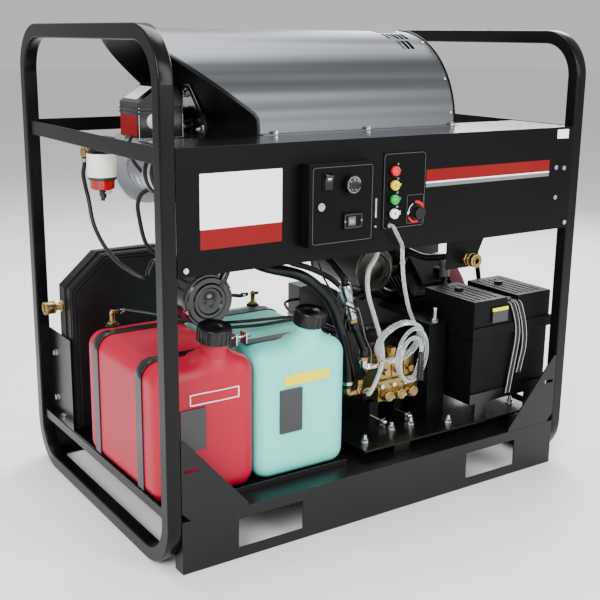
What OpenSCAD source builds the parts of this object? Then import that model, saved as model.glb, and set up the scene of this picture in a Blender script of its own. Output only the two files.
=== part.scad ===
// Hot-water pressure washer on a skid, carried in a frame of bent square tube.
// X runs along the control side, Y to the rear and Z up, in millimetres.
// The origin lies on the ground under the middle of the base.

/* [Frame] */
// Length over the two end loops
frame_l = 1220; // [1190:5:1280]
// Depth of an end loop, front to rear
frame_w = 811; // [795:5:860]
// Height of an end loop
frame_h = 1180; // [1178:2:1240]
// Side of the square tube
tube_w = 34; // [30:1:36]
// Wall of the square tube
tube_wall = 3; // [2:0.5:4]
// Outer radius of the tube bends
bend_r = 118; // [90:2:140]
// Height of the upper end rails
rail_h = 35; // [28:1:40]
// Height of the lower end rails above the base
low_rail_h = 24; // [20:1:30]
// Distance of the end rails in from the outside of the loops
rail_inset = 8; // [6:1:12]
// Thickness of rails, panels and trays
sheet_t = 3; // [2:0.5:3]

/* [Base] */
// Height of the base skirts
skirt_h = 125; // [115:1:130]
// Thickness of the base plate and skirts
skirt_t = 4; // [3:0.5:5]
// Width of the skirts' bottom flanges
flange_w = 38; // [30:1:45]
// Width of a fork pocket
pocket_w = 174; // [150:2:190]
// Height of a fork pocket
pocket_h = 72; // [60:1:76]
// Height of the pockets above the ground
pocket_z = 25; // [20:1:30]
// Distance between the middles of the fork pockets
pocket_pitch = 692; // [640:4:720]
// Width of a corner gusset along the skirt
gusset_w = 168; // [140:2:190]
// Height of a corner gusset up the post
gusset_h = 190; // [150:2:220]
// Thickness of the rubber isolators under the engine deck
isolator_h = 19; // [14:1:22]
// Diameter of the rubber isolators
isolator_d = 36; // [30:1:44]
// Thickness of the engine deck
deck_plate_t = 6; // [5:1:8]
// Length of the engine deck
deck_plate_l = 596; // [580:2:600]
// Depth of the engine deck
deck_plate_w = 620; // [600:2:640]

/* [Panel and deck] */
// Height of the top deck's upper face
deck_top = 938; // [930:1:950]
// Height of the front panel
panel_h = 266; // [240:2:280]
// Depth of the panel's lower flange
panel_lip = 55; // [50:1:60]
// Width of the control box
box_w = 179; // [170:1:190]
// Height of the control box
box_h = 182; // [170:1:190]
// Depth of the control box in front of the panel
box_d = 32; // [26:1:40]
// Wall of the control box
box_t = 2; // [1.5:0.5:3]
// Thickness of the control box door
door_t = 3; // [2:0.5:4]
// Diameter of the burner thermostat knob
knob_d = 40; // [30:1:46]
// Diameter of the detergent valve knob
valve_knob_d = 38; // [30:1:42]
// Diameter of a spray nozzle's coloured collar
nozzle_d = 23; // [18:0.5:26]
// Distance between the nozzles
nozzle_pitch = 33; // [28:0.5:36]

/* [Heater] */
// Radius of the coil drum and its stainless wrap
drum_r = 235; // [225:1:238]
// Length of the coil drum
drum_l = 592; // [570:2:610]
// Reach of the wrap's visor over the burner
visor_l = 254; // [220:1:280]
// Thickness of the wrap
wrap_t = 1.5; // [1:0.5:2]
// Outer diameter of the coil pipe
pipe_d = 26.7; // [21:0.1:33]
// Turns of the coil pipe
pipe_turns = 9; // [6:1:10]
// Radius of the burner's blower housing
scroll_r = 88; // [82:1:88]
// Depth of the burner's blower housing
scroll_w = 75; // [65:1:80]
// Diameter of the burner motor
motor_d = 124; // [110:1:130]
// Length of the burner motor
motor_l = 185; // [150:1:195]
// Diameter of the motor shaft
motor_shaft_d = 12; // [10:0.5:14]

/* [Tanks] */
// Width of a fuel tank
tank_w = 255; // [240:1:256]
// Depth of a fuel tank
tank_d = 411; // [380:1:420]
// Height of a fuel tank
tank_h = 324; // [300:1:340]
// Rounding of a fuel tank's edges
tank_r = 36; // [24:1:40]
// Wall of the moulded tanks
tank_wall = 4; // [3:0.5:5]
// Diameter of a filler neck
neck_d = 58; // [50:1:62]
// Diameter of a filler cap
cap_d = 80; // [72:1:84]
// Height of a filler cap
cap_h = 32; // [26:1:36]
// Width of a tank strap
strap_w = 32; // [25:1:38]
// Thickness of a tank strap
strap_t = 3; // [2:0.5:3]
// Length of the water float tank
float_l = 376; // [340:2:400]
// Depth of the water float tank
float_d = 120; // [100:1:130]
// Height of the water float tank
float_h = 475; // [440:1:490]
// Width of the float tank's sloped shoulders
float_chamfer = 96; // [90:1:130]
// Radius of the inlet thread in the swivel nut
inlet_r = 13; // [10:0.5:13.5]

/* [Engine and pump] */
// Pitch radius of the engine pulley
engine_pulley_r = 45; // [40:1:50]
// Pitch radius of the pump pulley
pump_pulley_r = 95; // [85:1:100]
// Diameter of the engine shaft
engine_shaft_d = 25.4; // [22:0.1:28]
// Diameter of the pump shaft
pump_shaft_d = 24; // [20:0.5:28]
// Radial clearance of shafts in their housings
shaft_gap = 0.05; // [0.02:0.01:0.1]
// Width of a drive belt
belt_w = 16; // [12:0.5:17]
// Width of the pump manifold
manifold_w = 136; // [126:1:138]
// Distance between the plungers
plunger_pitch = 41; // [38:0.5:44]
// Outer radius of the muffler
muffler_r = 65; // [55:1:66]
// Radius of the air cleaner
cleaner_r = 64; // [56:1:70]

/* [Battery] */
// Length of the battery box at its rim
rim_l = 294; // [288:1:300]
// Depth of the battery box at its rim
rim_w = 211; // [206:1:220]
// Height of the battery box body
case_h = 184; // [175:1:190]
// Height of the battery lid over the body
lid_h = 97; // [90:1:105]

/* [Hoses] */
// Outer diameter of the detergent hose
det_hose_d = 9.5; // [8:0.5:10]
// Outer diameter of the clear bypass hose
clear_hose_d = 12; // [10:0.5:13]
// Loops of the tied detergent hose
det_loops = 4; // [3:1:4]
// Radius of the wide loops that lean to the front
wide_loop_r = 60; // [56:1:64]
// Radius of the loops that hang upright
loop_r = 63; // [60:1:66]
// Distance between neighbouring loops, centre to centre
loop_step = 12.2; // [12:0.1:13]

/* [Hidden] */
$fn = 64;
fit_gap = 0.3;
half_l = frame_l / 2;
half_w = frame_w / 2;
post_in = half_l - tube_w;
rail_x = half_l - rail_inset;
panel_y = -half_w + sheet_t;
base_top = skirt_h;
deck_plate_z = base_top + isolator_h + deck_plate_t;

// ---- shared shapes ----

// Rectangle with round corners, centred
module round_rect(w, h, r) {
    square([w - 2 * r, h], center = true);
    square([w, h - 2 * r], center = true);
    for (x = [-1, 1], y = [-1, 1])
        translate([x * (w / 2 - r), y * (h / 2 - r)]) circle(r);
}

// A box given by its two corners
module span(a, b) {
    translate(a) cube(b - a);
}

// Cylinders along X and Y that start at a point
module rod_x(p, r, l) {
    translate(p) rotate([0, 90, 0]) cylinder(r = r, h = l);
}
module rod_y(p, r, l) {
    translate(p) rotate([-90, 0, 0]) cylinder(r = r, h = l);
}
module rod_z(p, r, l) {
    translate(p) cylinder(r = r, h = l);
}

// A hexagon prism along Z, by its distance across flats
module hex_z(af, h) {
    cylinder(r = af / sqrt(3), h = h, $fn = 6);
}

// Bolt head on a washer, standing on the XY plane
module bolt_head(af, h) {
    cylinder(r = af * 0.72, h = 1.5);
    translate([0, 0, 1.5]) hex_z(af, h);
}

// Block rounded along both of its lengths, where two round-cornered prisms cross
module soft_block(a, b, r) {
    size = b - a;
    translate((a + b) / 2) intersection() {
        rotate([90, 0, 0]) linear_extrude(size.y, center = true) round_rect(size.x, size.z, r);
        rotate([90, 0, 90]) linear_extrude(size.x, center = true) round_rect(size.y, size.z, r);
    }
}

// A smooth path through chosen points, as Catmull-Rom segments of k steps
function blend(a, b, c, d, t) =
    0.5 * (2 * b + (c - a) * t + (2 * a - 5 * b + 4 * c - d) * t * t
        + (3 * b - a - 3 * c + d) * t * t * t);
function smooth(p, k) = [
    for (i = [0 : len(p) - 2], j = [0 : k - 1])
        blend(p[max(i - 1, 0)], p[i], p[i + 1], p[min(i + 2, len(p) - 1)], j / k),
    p[len(p) - 1]];
function unit(v) = v / norm(v);
function along(p, i) = unit(p[min(i + 1, len(p) - 1)] - p[max(i - 1, 0)]);
function level(v, t) = unit(v - (v * t) * t);
// Side vectors carried along the path without twist
function sides_of(p) = [
    for (i = 0, a = level(abs(along(p, 0).z) > 0.9 ? [1, 0, 0] : [0, 0, 1], along(p, 0));
        i < len(p);
        i = i + 1, a = i < len(p) ? level(a, along(p, i)) : a) a];

// A round tube along a path, as one closed mesh of triangles
module sweep(p, r, n = 8) {
    a = sides_of(p);
    rings = len(p);
    points = [for (i = [0 : rings - 1], s = [0 : n - 1])
        let (t = along(p, i), b = cross(t, a[i]))
        p[i] + r * (cos(360 * s / n) * a[i] + sin(360 * s / n) * b)];
    skin = [for (i = [0 : rings - 2], s = [0 : n - 1])
        let (u = i * n + s, v = i * n + (s + 1) % n)
        each [[u, u + n, v], [v, u + n, v + n]]];
    last = (rings - 1) * n;
    ends = [for (s = [1 : n - 2])
        each [[0, s, s + 1], [last, last + s + 1, last + s]]];
    polyhedron(points = points, faces = concat(skin, ends), convexity = 6);
}

// ---- frame ----

// One closed loop of square tube, centred on the YZ plane
module end_loop() {
    rotate([90, 0, 90])
        translate([0, frame_h / 2]) difference() {
            loop_ring(tube_w, 0);
            loop_ring(tube_w - 2 * tube_wall, tube_wall);
        }
}
module loop_ring(width, inset) {
    linear_extrude(width, center = true) difference() {
        round_rect(frame_w - 2 * inset, frame_h - 2 * inset, bend_r - inset);
        round_rect(frame_w - 2 * (tube_w - inset), frame_h - 2 * (tube_w - inset), bend_r - tube_w + inset);
    }
}
module left_end_loop() {
    color("#2b2b2d") translate([-half_l + tube_w / 2, 0, 0]) end_loop();
}
module right_end_loop() {
    color("#2b2b2d") translate([half_l - tube_w / 2, 0, 0]) end_loop();
}

// Upper and lower end rails between the posts, and the rear rail under the deck's edge
module cross_rails() {
    rail_half = half_w - tube_w;
    color("#3a3b3d") {
        for (x = [-rail_x, rail_x - sheet_t]) {
            span([x, -rail_half, deck_top - rail_h], [x + sheet_t, rail_half, deck_top]);
            span([x, -rail_half, base_top], [x + sheet_t, rail_half, base_top + low_rail_h]);
        }
        span([-post_in, half_w - sheet_t, deck_top - rail_h], [post_in, half_w, deck_top]);
    }
}

// Base plate with a front and a rear skirt, both cut for the forks
module base_skid() {
    color("#242426") {
        span([-post_in, -half_w, base_top - skirt_t], [post_in, half_w, base_top]);
        for (side = [0, 1]) mirror([0, side, 0]) skirt();
        // middle web under the plate
        span([-skirt_t / 2, -half_w + flange_w, 0], [skirt_t / 2, half_w - flange_w, base_top - skirt_t]);
        span([-flange_w, -half_w + flange_w, 0], [flange_w, half_w - flange_w, skirt_t]);
    }
}
module skirt() {
    difference() {
        span([-post_in, -half_w, 0], [post_in, -half_w + skirt_t, base_top]);
        for (x = [-1, 1])
            translate([x * pocket_pitch / 2 - pocket_w / 2, -half_w - 1, pocket_z])
                cube([pocket_w, skirt_t + 2, pocket_h]);
    }
    span([-post_in, -half_w, 0], [post_in, -half_w + flange_w, skirt_t]);
    for (x = [-post_in, post_in - skirt_t])
        span([x, -half_w, 0], [x + skirt_t, -half_w + flange_w, base_top]);
}

// Four triangular plates that tie the posts to the skirts
slot_h = 8;
module corner_gussets() {
    clip = 22;
    color("#242426")
        for (x = [0, 1], y = [0, 1]) mirror([x, 0, 0]) mirror([0, y, 0])
            translate([-post_in, -half_w, base_top]) rotate([90, 0, 0]) mirror([0, 0, 1])
                linear_extrude(skirt_t) difference() {
                    polygon([[clip, 0], [gusset_w, 0], [gusset_w, slot_h], [slot_h, gusset_h],
                        [0, gusset_h], [0, clip]]);
                    translate([slot_h, gusset_h * 0.6]) square([slot_h * 4, slot_h]);
                }
}

// ---- trays and engine deck ----

tank_x = -half_l + 14;
tank_y = -half_w + 69.5;
tank_gap = 4;
tray_end = tank_x + 2 * tank_w + tank_gap - 6;
tank_z = base_top + sheet_t;
float_x = -post_in;
float_y = 200;
bracket_top = base_top + 253;

// Tray under the fuel tanks and the sheet bracket that holds the float tank
module tank_tray() {
    lip_y = tank_y - 8;
    color("#1f1f21") {
        span([-rail_x + sheet_t, lip_y, base_top], [tray_end, tank_y + tank_d, tank_z]);
        span([-rail_x + sheet_t, lip_y, tank_z], [tray_end, lip_y + sheet_t, tank_z + 12]);
        span([float_x - sheet_t, float_y + 18, base_top], [float_x, half_w - tube_w, bracket_top]);
    }
}

deck_mid = 262;
deck_x = deck_mid - deck_plate_l / 2;
deck_y = -half_w + 55;

// Steel plate that carries the engine, pump and battery, with its shipping tab and the battery tray
module engine_deck() {
    tab_x = deck_x + 90;
    tab_w = 52;
    color("#1d1d1f") {
        span([deck_x, deck_y, deck_plate_z - deck_plate_t],
            [deck_x + deck_plate_l, deck_y + deck_plate_w, deck_plate_z]);
        span([tab_x, deck_y - sheet_t, base_top], [tab_x + tab_w, deck_y, deck_plate_z]);
        battery_tray();
    }
}

// Rubber isolators between the base plate and the engine deck
module deck_isolators() {
    edge = 60;
    color("#151515")
        for (x = [edge, deck_plate_l / 2, deck_plate_l - edge], y = [edge, deck_plate_w - edge])
            rod_z([deck_x + x, deck_y + y, base_top], isolator_d / 2, isolator_h);
}

// ---- panel, deck and controls ----

panel_z = deck_top - panel_h;
box_x = -half_l + 333;
box_z = panel_z + 37;
door_y = -half_w - box_d;
hinge_r = 3;
hinge_x = box_x + box_w + hinge_r + 1;
hinge_y = door_y - door_t + hinge_r;
plate_x = -half_l + 559;
plate_w = 128;
plate_h = 179;
plate_z = panel_z + 51;
nozzle_x = plate_x + 30;
nozzle_z = plate_z + 38;
nozzle_stem_r = 8;
knob_x = plate_x + 101;
knob_z = plate_z + 35;
grommet_x = plate_x + 20;
grommet_z = plate_z + 11;
plate_t = 2;
face_y = -half_w - plate_t;

module panel_holes(y, depth) {
    for (i = [0 : 3])
        rod_y([nozzle_x, y, nozzle_z + i * nozzle_pitch], nozzle_stem_r + fit_gap, depth);
    rod_y([knob_x, y, knob_z], 4 + shaft_gap, depth);
    rod_y([grommet_x, y, grommet_z], det_hose_d / 2 + fit_gap, depth);
}

// Front panel with its folded lower flange
module control_panel() {
    color("#222224") difference() {
        union() {
            span([-post_in, -half_w, panel_z], [post_in, panel_y, deck_top]);
            span([-post_in, panel_y, panel_z], [post_in, panel_y + panel_lip, panel_z + sheet_t]);
        }
        panel_holes(-half_w - 1, sheet_t + 2);
    }
}

drum_x0 = -half_l + 330;
drum_x1 = drum_x0 + drum_l;
hole_x0 = -post_in + 16;
wrap_flange = 22;

// Flat top deck, open round the coil drum and the burner
module top_deck() {
    color("#1b1b1d") difference() {
        span([-post_in, panel_y, deck_top - sheet_t], [post_in, half_w - sheet_t, deck_top]);
        span([hole_x0, -drum_r, deck_top - sheet_t - 1], [drum_x1 + sheet_t, drum_r, deck_top + 1]);
        // the bays beside the drum are open behind the front strip
        span([-post_in - 1, -drum_r, deck_top - sheet_t - 1], [drum_x0 - 10, half_w, deck_top + 1]);
        span([drum_x1 + 30, -190, deck_top - sheet_t - 1], [post_in + 1, half_w, deck_top + 1]);
    }
}

// Open-fronted steel box behind the control door
module control_box() {
    color("#1c1c1e") difference() {
        span([box_x, door_y, box_z], [box_x + box_w, -half_w, box_z + box_h]);
        span([box_x + box_t, door_y - 1, box_z + box_t],
            [box_x + box_w - box_t, -half_w - box_t, box_z + box_h - box_t]);
    }
    color("#1c1c1e") difference() {
        rod_z([hinge_x, hinge_y, box_z + 50], hinge_r, 25);
        rod_z([hinge_x, hinge_y, box_z + 49], 1.5 + shaft_gap, 27);
    }
    color("#1c1c1e")
        span([box_x + box_w, hinge_y + hinge_r - 1, box_z + 50],
            [hinge_x, hinge_y + hinge_r + 1, box_z + 75]);
}

rocker_x = box_x + 49;
rocker_z = box_z + 143;
rocker_w = 22;
rocker_h = 38;
dial_x = box_x + 107;
dial_z = box_z + 135;
meter_x = box_x + 115;
meter_z = box_z + 53;
latch_x = box_x + 30;
latch_z = box_z + 90;

// Door with its hinge pin and knuckles, hour meter, dial plate and switch bezel
module control_door() {
    front = door_y - door_t;
    color("#202022") {
        difference() {
            span([box_x, front, box_z], [box_x + box_w, door_y, box_z + box_h]);
            span([rocker_x - rocker_w / 2, front - 1, rocker_z - rocker_h / 2],
                [rocker_x + rocker_w / 2, door_y + 1, rocker_z + rocker_h / 2]);
            rod_y([dial_x, front - 1, dial_z], 4 + shaft_gap, door_t + 2);
            rod_y([latch_x, front - 1, latch_z], 5 + shaft_gap, door_t + 2);
        }
        for (z = [[20, 49.7], [80, 120]]) {
            rod_z([hinge_x, hinge_y, box_z + z[0]], hinge_r, z[1] - z[0]);
            span([box_x + box_w - 1, front, box_z + z[0]], [hinge_x, front + 2, box_z + z[1]]);
        }
        rod_z([hinge_x, hinge_y, box_z + 49], 1.5, 32);
    }
    // bezel round the switch
    color("#151515") difference() {
        span([rocker_x - rocker_w / 2 - 5, front - 2, rocker_z - rocker_h / 2 - 6],
            [rocker_x + rocker_w / 2 + 5, front, rocker_z + rocker_h / 2 + 6]);
        span([rocker_x - rocker_w / 2, front - 3, rocker_z - rocker_h / 2],
            [rocker_x + rocker_w / 2, front + 1, rocker_z + rocker_h / 2]);
    }
    // hour meter and dial plate
    color("#101010") span([meter_x - 26, front - 6, meter_z - 18], [meter_x + 26, front, meter_z + 18]);
    color("#d8d8d8") difference() {
        rod_y([dial_x, front - 1, dial_z], 27, 1);
        rod_y([dial_x, front - 2, dial_z], 4 + shaft_gap, 3);
    }
}

// Quarter-turn latch
module door_latch() {
    front = door_y - door_t;
    color("#b9bcc0") {
        rod_y([latch_x, front - 4, latch_z], 9, 4 - fit_gap);
        rod_y([latch_x, front - fit_gap, latch_z], 5, door_t + 8);
        span([latch_x - 18, door_y + 4, latch_z - 5], [latch_x + 5, door_y + 6.5, latch_z + 5]);
    }
}

// Rocker with two faces that meet over its pivot
rocker_tilt = 8;
module rocker_switch() {
    front = door_y - door_t;
    gap = 0.6;
    r = rocker_h / 2 - gap;
    color("#262626") intersection() {
        rod_x([rocker_x - rocker_w / 2 + gap, front + door_t, rocker_z], r, rocker_w - 2 * gap);
        translate([rocker_x, front + door_t, rocker_z]) rotate([rocker_tilt, 0, 0]) rotate([0, 90, 0])
            linear_extrude(rocker_w, center = true)
                polygon([[-r - 5, 9], [-r - 5, -10], [-r + 3, -9], [0, -6], [r - 3, -9], [r + 5, -10],
                    [r + 5, 9]]);
    }
}

// Thermostat knob with a pointer rib and grip flutes
module thermostat_knob() {
    front = door_y - door_t - 1;
    color("#111111") {
        translate([dial_x, front - fit_gap, dial_z]) rotate([90, 0, 0]) difference() {
            cylinder(r = knob_d / 2, h = 16);
            for (a = [20 : 20 : 340])
                rotate(a) translate([knob_d / 2 + 1, 0, -1]) cylinder(r = 2, h = 18, $fn = 24);
        }
        rod_y([dial_x, front - fit_gap, dial_z], 4, door_t + 8);
    }
}

// Decal plate with the nozzle grommets and the hose bushing
module nozzle_plate() {
    color("#1a1a1c") difference() {
        union() {
            span([plate_x, face_y, plate_z], [plate_x + plate_w, -half_w, plate_z + plate_h]);
            for (i = [0 : 3])
                rod_y([nozzle_x, face_y - 3, nozzle_z + i * nozzle_pitch], nozzle_d / 2 + 2, 3);
            rod_y([grommet_x, face_y - 4, grommet_z], det_hose_d / 2 + 4, 4);
        }
        panel_holes(face_y - 5, plate_t + 6);
    }
}

// Quick-change spray nozzle: coloured collar on a steel stem
module nozzle(i, tint) {
    z = nozzle_z + i * nozzle_pitch;
    color(tint) difference() {
        rod_y([nozzle_x, face_y - 3 - 9, z], nozzle_d / 2, 9);
        rod_y([nozzle_x, face_y - 13, z], 4, 6);
    }
    color("#b8babd") rod_y([nozzle_x, face_y - 3, z], nozzle_stem_r, 34);
}
module nozzle_white() { nozzle(0, "#f2f2f2"); }
module nozzle_green() { nozzle(1, "#1f9a4a"); }
module nozzle_yellow() { nozzle(2, "#e9c92b"); }
module nozzle_red() { nozzle(3, "#d8232a"); }

// Metering valve knob for detergent
module detergent_knob() {
    color("#111111") {
        translate([knob_x, face_y - fit_gap, knob_z]) rotate([90, 0, 0]) difference() {
            union() {
                cylinder(r = valve_knob_d / 2, h = 5);
                cylinder(r = valve_knob_d / 2 - 4, h = 18);
            }
            for (a = [0 : 30 : 330])
                rotate(a) translate([valve_knob_d / 2 - 3, 0, 6]) cylinder(r = 1.6, h = 13, $fn = 24);
        }
        rod_y([knob_x, face_y - fit_gap, knob_z], 4, 24);
    }
}

// ---- heater ----

// Stainless half wrap with its flanges, sloped visor and exhaust slots
module coil_wrap() {
    slope_z = deck_top + 40;
    color("#b7b9ba") difference() {
        union() {
            translate([drum_x0 - visor_l, 0, deck_top]) rotate([90, 0, 90])
                linear_extrude(drum_l + visor_l) difference() {
                    circle(drum_r, $fn = 96);
                    circle(drum_r - wrap_t, $fn = 96);
                }
            for (y = [-drum_r - wrap_flange, drum_r - wrap_t])
                span([drum_x0, y, deck_top], [drum_x1, y + wrap_flange + wrap_t, deck_top + wrap_t]);
        }
        span([drum_x0 - visor_l - 1, -drum_r - 1, deck_top - drum_r - 1],
            [drum_x1 + 1, drum_r + 1, deck_top]);
        // the slope of the visor, from above the base line up to the top
        translate([drum_x0, 0, slope_z]) rotate([0, atan2(drum_r - 40, visor_l + 6), 0]) mirror([1, 0, 0])
            mirror([0, 0, 1]) translate([0, -drum_r - 1, 0]) cube([drum_r * 3, drum_r * 2 + 2, drum_r * 3]);
        translate([drum_x0, 0, slope_z]) mirror([1, 0, 0]) mirror([0, 0, 1])
            translate([0, -drum_r - 1, 0]) cube([drum_r * 3, drum_r * 2 + 2, drum_r * 3]);
        // exhaust slots
        for (i = [0 : 4], a = [0 : (i == 0 || i == 4 ? 1 : 2)])
            translate([drum_x1 - 112 + i * 15, 0, deck_top]) rotate([7 + a * 12, 0, 0])
                translate([0, -20, drum_r - 8]) cube([11, 40, 12]);
    }
}

// Black shell under the wrap, the two end plates and the edge trims
module coil_drum() {
    color("#19191b") {
        translate([drum_x0, 0, deck_top]) rotate([90, 0, 90]) linear_extrude(drum_l) difference() {
            circle(drum_r - wrap_t, $fn = 96);
            circle(drum_r - wrap_t - sheet_t, $fn = 96);
            translate([-drum_r, 0]) square([2 * drum_r, drum_r]);
        }
        rod_x([drum_x0 - sheet_t, 0, deck_top], drum_r - wrap_t - fit_gap, sheet_t);
        for (p = [inlet_stub, outlet_stub]) {
            rod_z(p, 13, 20);
            translate(p - [0, 0, 12]) hex_z(28, 14);
        }
        difference() {
            rod_x([drum_x1, 0, deck_top], drum_r + 3, sheet_t);
            span([drum_x1 - 1, -drum_r - 4, deck_top - drum_r - 4],
                [drum_x1 + sheet_t + 1, drum_r + 4, deck_top]);
        }
        difference() {
            rod_x([drum_x1, 0, deck_top], drum_r - wrap_t, sheet_t);
            span([drum_x1 - 1, -drum_r - 4, deck_top],
                [drum_x1 + sheet_t + 1, drum_r + 4, deck_top + drum_r]);
        }
    }
}

// Ends of the heating coil where they leave the drum's underside
stub_y = -40;
inlet_stub = [drum_x0 + 60, stub_y, deck_top - drum_r - 12];
outlet_stub = [drum_x1 - 60, stub_y, deck_top - drum_r - 12];

// Helical heating coil inside the drum
loop_rings = 24;
pipe_r = drum_r - wrap_t - sheet_t - fit_gap - pipe_d / 2;
function helix(t) = [drum_x0 + 25 + pipe_d / 2 + t * (drum_l - 50 - pipe_d) / pipe_turns,
    pipe_r * cos(360 * t), deck_top + pipe_r * sin(360 * t)];
module heating_coil() {
    color("#6a6d70") sweep([for (k = [0 : pipe_turns * loop_rings]) helix(k / loop_rings)], pipe_d / 2, 6);
}

// ---- burner ----

burner_x = -half_l + 168;
burner_z = 850;
burner_y = 0;
tube_r = 36;
flange_x = drum_x0 - 38;
flange_bolt_r = 80;

// Blower housing, air tube with its flange, and the ignition box on top
module burner_housing() {
    wall = 3;
    tube_x = burner_x + 20;
    tube_y = burner_y + scroll_w / 2;
    color("#161617") {
        difference() {
            union() {
                rod_y([burner_x, burner_y, burner_z], scroll_r, scroll_w);
                rod_x([tube_x, tube_y, deck_top], tube_r, drum_x0 - sheet_t - tube_x);
            }
            rod_y([burner_x, burner_y + wall, burner_z], scroll_r - wall, scroll_w - 2 * wall);
            rod_y([burner_x, burner_y - 1, burner_z], motor_shaft_d / 2 + 1, wall + 2);
            for (a = [0 : 45 : 315])
                translate([burner_x + 34 * cos(a), burner_y + scroll_w - wall - 1, burner_z + 34 * sin(a)])
                    rotate([-90, 0, 0]) cylinder(r = 9, h = wall + 2);
        }
        // ignition box
        translate([burner_x - 61, burner_y - 80, 925]) {
            cube([112, 80, 70]);
            translate([12, 80, 70]) rotate([90, 0, 0]) linear_extrude(80)
                polygon([[0, 0], [92, 0], [92, 50], [46, 50], [0, 18]]);
        }
    }
}

// Direct-current blower motor in its two rubber bands
module burner_motor() {
    front = burner_y - motor_l;
    color("#b4b6b9") difference() {
        union() {
            rod_y([burner_x, front, burner_z], motor_d / 2 - 4, motor_l);
            for (y = [20, 70, 120])
                rod_y([burner_x, front + y, burner_z], motor_d / 2, 14);
        }
        rod_y([burner_x, burner_y - 40, burner_z], motor_shaft_d / 2 + shaft_gap, 41);
    }
}

// Squirrel-cage blower wheel on the motor shaft
module blower_wheel() {
    wall = 3;
    depth = scroll_w - 2 * wall - 6;
    blades = 24;
    color("#8d9093") translate([burner_x, burner_y + wall + 3, burner_z]) rotate([-90, 0, 0]) {
        cylinder(r = scroll_r - 12, h = 3);
        difference() {
            translate([0, 0, depth - 3]) cylinder(r = scroll_r - 12, h = 3);
            translate([0, 0, depth - 4]) cylinder(r = scroll_r - 26, h = 5);
        }
        for (i = [1 : blades])
            rotate(i * 360 / blades) translate([scroll_r - 25, -1, 2]) cube([12, 2, depth - 4]);
        translate([0, 0, -wall - 3 - 35]) cylinder(r = motor_shaft_d / 2, h = wall + 3 + 36);
    }
}

// ---- fuel filter ----

filter_x = -half_l + 42;
filter_y = -12;
filter_r = 35;
filter_top = deck_top - rail_h + 4;
can_h = 58;
bowl_h = 30;
can_z = filter_top - 14 - can_h;
bowl_r = 29;

// Mounting head, inlet elbow and spin-on canister
module filter_canister() {
    color("#e9e9e4") rod_z([filter_x, filter_y, can_z], filter_r, can_h);
    color("#2a2a2c") {
        rod_z([filter_x, filter_y, can_z + can_h], filter_r - 5, 9);
        span([-rail_x + sheet_t, filter_y - 25, can_z + can_h + 9],
            [filter_x + 25, filter_y + 25, filter_top + 20]);
    }
    color("#b5893a") {
        translate([filter_x - 6, filter_y + 25, filter_top - 8]) {
            rod_y([0, 0, 0], 6, 67);
            rod_y([0, 30, 0], 9, 12);
            translate([0, 67, 0]) sphere(8);
            rod_z([0, 67, -26], 7, 26);
        }
    }
}

// Clear sediment bowl
module filter_bowl() {
    bowl_z = can_z - bowl_h;
    color("#c21f1f", 0.6) difference() {
        rod_z([filter_x, filter_y, bowl_z], bowl_r, bowl_h);
        rod_z([filter_x, filter_y, bowl_z - 1], 5 + shaft_gap, 12);
    }
}

// Drain screw with wings under the bowl
module drain_valve() {
    bowl_z = can_z - bowl_h;
    color("#101010") {
        rod_z([filter_x, filter_y, bowl_z - 26], 5, 34);
        span([filter_x - 3, filter_y - 14, bowl_z - 18], [filter_x + 3, filter_y + 14, bowl_z - 8]);
        rod_z([filter_x, filter_y, bowl_z - 6], 8, 5.5);
    }
}

// ---- fuel tanks ----

neck_in = 158;
neck_tilt = 10;
neck_y = tank_y + 40;
neck_rise = 68;
cap_gap = 0.3;

// Blow-moulded tank with a filler neck that leans forward
module fuel_tank(x) {
    top = tank_z + tank_h;
    a = [x, tank_y, tank_z];
    b = [x + tank_w, tank_y + tank_d, top];
    w = tank_wall * [1, 1, 1];
    difference() {
        union() {
            soft_block(a, b, tank_r);
            at_neck(x) {
                translate([0, 0, -60]) cylinder(r = neck_d / 2, h = neck_rise + 60);
                translate([0, 0, -60]) cylinder(r = neck_d / 2 + 3, h = 70);
                translate([0, 0, -20]) cylinder(r1 = neck_d / 2 + 7, r2 = neck_d / 2 + 1, h = 48);
            }
        }
        soft_block(a + w, b - w, tank_r - tank_wall);
        at_neck(x) translate([0, 0, -60]) cylinder(r = neck_d / 2 - tank_wall, h = neck_rise + 61);
    }
}
module at_neck(x) {
    translate([x + neck_in, neck_y, tank_z + tank_h]) rotate([neck_tilt, 0, 0]) children();
}
module gasoline_tank() { color("#d8223e") fuel_tank(tank_x); }
diesel_x = tank_x + tank_w + tank_gap;
module diesel_tank() { color("#a6e3dc") fuel_tank(diesel_x); }

// Ribbed screw cap over the neck
module filler_cap(x) {
    ribs = 20;
    at_neck(x) translate([0, 0, neck_rise - cap_h + 8]) difference() {
        union() {
            cylinder(r = cap_d / 2 - 1.5, h = cap_h);
            for (i = [1 : ribs])
                rotate(i * 360 / ribs) translate([cap_d / 2 - 3, -2, 0]) cube([3, 4, cap_h - 4]);
        }
        translate([0, 0, -1]) cylinder(r = neck_d / 2 + cap_gap, h = cap_h - 7 + cap_gap);
    }
}
module gasoline_cap() { color("#151515") filler_cap(tank_x); }
module diesel_cap() { color("#151515") filler_cap(diesel_x); }

strap_ys = [tank_y + 91, tank_y + 336];
strap_clamp = 12;

// Steel straps over each tank, hooked on the end rail and bolted between the tanks
module tank_straps() {
    middle = diesel_x - tank_gap / 2;
    color("#1a1a1b")
        for (y = strap_ys, side = [0, 1])
            translate([middle, y + strap_w / 2, tank_z]) mirror([1 - side, 0, 0]) rotate([90, 0, 0])
                linear_extrude(strap_w) strap_outline();
}
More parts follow.
